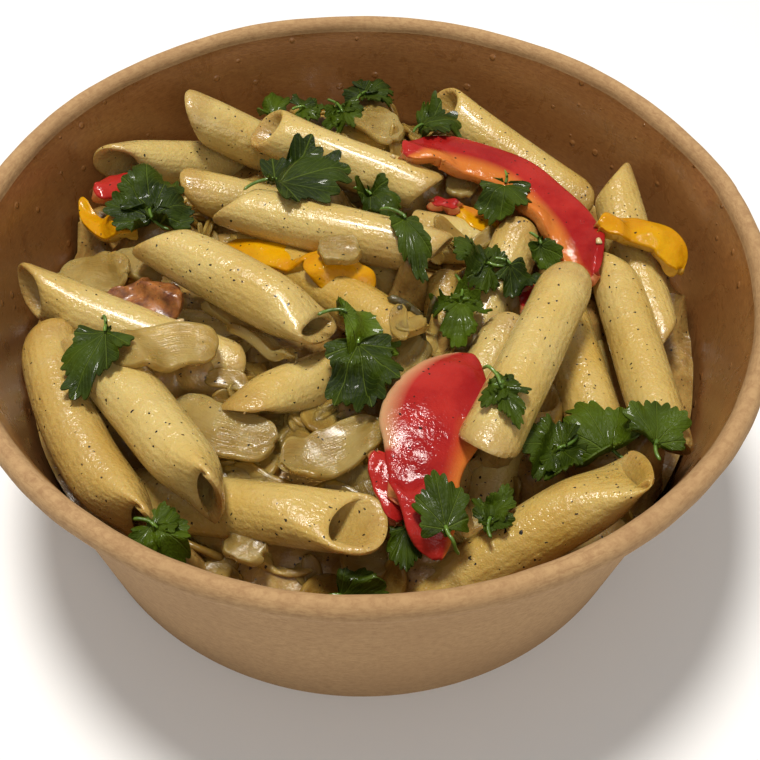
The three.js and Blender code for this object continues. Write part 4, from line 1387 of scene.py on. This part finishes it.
def lay_copy(shape, place, normal, size, heading, stretch=1.0):
    """A copy of a small shape, turned, tilted as the place slopes, and put there."""
    tilt = Vector((0, 0, 1)).rotation_difference(normal).to_matrix()
    copy = shape.copy()
    copy.data = shape.data.copy()
    bpy.context.collection.objects.link(copy)
    spin = Matrix.Rotation(heading, 3, "Z") @ Matrix.Diagonal((size, size * stretch, size))
    copy.data.transform((tilt @ spin).to_4x4())
    copy.data.transform(Matrix.Translation(place))
    return copy


def look_down(x, y):
    """Place, normal and piece of what lies on top at a place given in mm."""
    place, normal, index, _ = TREE.ray_cast(Vector((x, y, DROP_HEIGHT)) * MM, Vector((0, 0, -1)))
    return place, normal, None if index is None else OWNERS[index]


def covers_named_piece(x, y):
    """Whether a place is kept free of scraps, because a named piece is seen there."""
    return any(math.dist((x, y), spot[:2]) < spot[2] for spot in KEEP_CLEAR)


def scatter(name, shape, count, seed, sizes, finish, slot, low=0.5, on=(), around=None):
    """Copies of one small shape, turned at random, each lying on what is under it."""
    chance = random.Random(seed)
    copies = []
    for _ in range(TRIES_EACH * count):
        turn, reach = chance.uniform(0, 2 * math.pi), LOOSE_RADIUS * math.sqrt(chance.random())
        x, y = reach * math.cos(turn), reach * math.sin(turn)
        if around:
            x, y = around[0] + chance.gauss(0, around[2]), around[1] + chance.gauss(0, around[3])
        size, heading = chance.uniform(*sizes), chance.uniform(0, 2 * math.pi)
        stretch = chance.uniform(0.6, 1)
        place, normal, owner = look_down(x, y)
        if place is None or math.hypot(x, y) > LOOSE_RADIUS or normal.z < low:
            continue
        if on and (owner not in on or covers_named_piece(x, y)):
            continue
        place.z -= SUNK * size
        copies.append(lay_copy(shape, place, normal, size, heading, stretch))
        if len(copies) == count:
            break
    piece = join(name, copies, [finish])
    print(name, len(copies))
    return stands_for(piece, slot)


TREE, OWNERS = landing_tree([penne_on_top, penne_below, sauce, *strips, *leaves])
print("faces to land on:", len(OWNERS))

# %% [markdown]
# The small shapes are a bent slice, which becomes a scrap or thread of onion or a torn bit of
# parsley, and a lumpy crumb, for garlic and, much smaller, for flakes of black pepper.

# %% Loose scraps, crumbs and flakes
def scrap_shape(name, length, width, thickness, curl, columns, rows):
    """A small bent slice, with its sizes in mm, lying flat at the origin."""
    piece, share, side = new_grid(name, columns, rows)
    along, across = share * 2 - 1, side * 2 - 1
    round_end = np.sqrt(np.clip(1.04 - along ** 4, 0.04, 1))
    x = along * length / 2
    y = across * width / 2 * round_end + 0.12 * length * along ** 2
    z = thickness + curl * (across ** 2 + 0.6 * along ** 2) + 0.15 * np.sin(along * 4 + across * 2)
    move_points(piece, np.column_stack([x, y, z]) * MM)
    apply_modifier(piece, "SOLIDIFY", thickness=thickness * MM, offset=-1)
    apply_modifier(piece, "SUBSURF", levels=1, render_levels=1)
    set_number(piece, "tone", 0.3)
    return piece


def crumb_shape(name):
    bpy.ops.object.select_all(action="DESELECT")
    bpy.ops.mesh.primitive_ico_sphere_add(subdivisions=2, radius=0.5 * MM)
    piece = bpy.context.object
    piece.name = piece.data.name = name
    places = points_of(piece)
    lumps = 1 + 0.3 * np.sin(places[:, 0] * 5000 + 1) * np.cos(places[:, 1] * 6000)
    move_points(piece, places * lumps[:, None] * np.array((1, 0.8, 0.5)))
    return piece


IN_SAUCE = {"low": 0.3, "on": ("sauce_bed", "penne_below")}
onion_scrap = scrap_shape("onion_scrap", 9, 5.6, 0.9, 0.25, 8, 5)
onion_thread = scrap_shape("onion_thread", 14, 2.0, 0.8, 0.4, 12, 3)
herb_scrap = scrap_shape("herb_scrap", 2.4, 0.5, 0.15, 0.2, 6, 3)
crumb = crumb_shape("crumb")
scatter("onion_scraps", onion_scrap, 90, 11, (0.6, 1.2), SCRAP, "onion", **IN_SAUCE)
scatter("onion_heap", onion_scrap, 60, 12, (0.7, 1.5), SCRAP, "onion", **IN_SAUCE,
        around=(-14, -38, 14, 11))
scatter("onion_threads", onion_thread, 50, 13, (0.6, 1.3), SCRAP, "onion", **IN_SAUCE)
scatter("herb_scraps", herb_scrap, 30, 14, (0.4, 1.3), PARSLEY, "parsley")
scatter("garlic_crumbs", crumb, 45, 15, (0.5, 1.4), WET["garlic_crumb"], "onion")
scatter("pepper_flakes", crumb, 500, 16, (0.2, 0.5), FLAKE, "parsley", low=0.3)
print("scraps scattered")

# %% [markdown]
# A few small things are seen so clearly that they are placed one by one: round white beads, given
# by place and size, and the strands of a wilted herb, given by both ends, bow and radius.

# %% Beads and strands placed one by one
WHITE_BEADS = [(-34.3, -11.8, 2.2), (-31.0, -12.0, 1.3), (45.6, 7.1, 1.8), (5.5, 30.0, 1.4)]
WILTED_STRANDS = [((4, -9), (12, -12), 1.0, 0.9), ((6, -13), (12, -8), -1.0, 0.7),
                  ((8, -11), (14, -4), 1.5, 0.5), ((-37, -14), (-28, -10), 1.0, 0.4),
                  ((-34, -15), (-30, -8), -0.6, 0.35)]


def beads_by_hand():
    copies = []
    for x, y, size in WHITE_BEADS:
        place = look_down(x, y)[0] + Vector((0, 0, 0.1 * size)) * MM
        copies.append(lay_copy(crumb, place, Vector((0, 0, 1)), size, x))
    return stands_for(join("white_beads", copies, [WET["garlic_crumb"]]), "onion")


def strands_by_hand():
    strands = []
    for number, (start, end, bow, radius) in enumerate(WILTED_STRANDS):
        route = []
        for share in np.linspace(0, 1, 7):
            x = start[0] + (end[0] - start[0]) * share + bow * math.sin(share * math.pi)
            y = start[1] + (end[1] - start[1]) * share
            route.append((x, y, look_down(x, y)[0].z / MM + radius * 0.8))
        strands.append(tube(f"strand_{number}", route, radius))
    return stands_for(join("wilted_strands", strands, [WET["wilted_herb"]]), "parsley")


beads_by_hand()
strands_by_hand()
for shape in (onion_scrap, onion_thread, herb_scrap, crumb):
    bpy.data.objects.remove(shape)
print("beads and strands:", len(WHITE_BEADS), len(WILTED_STRANDS))
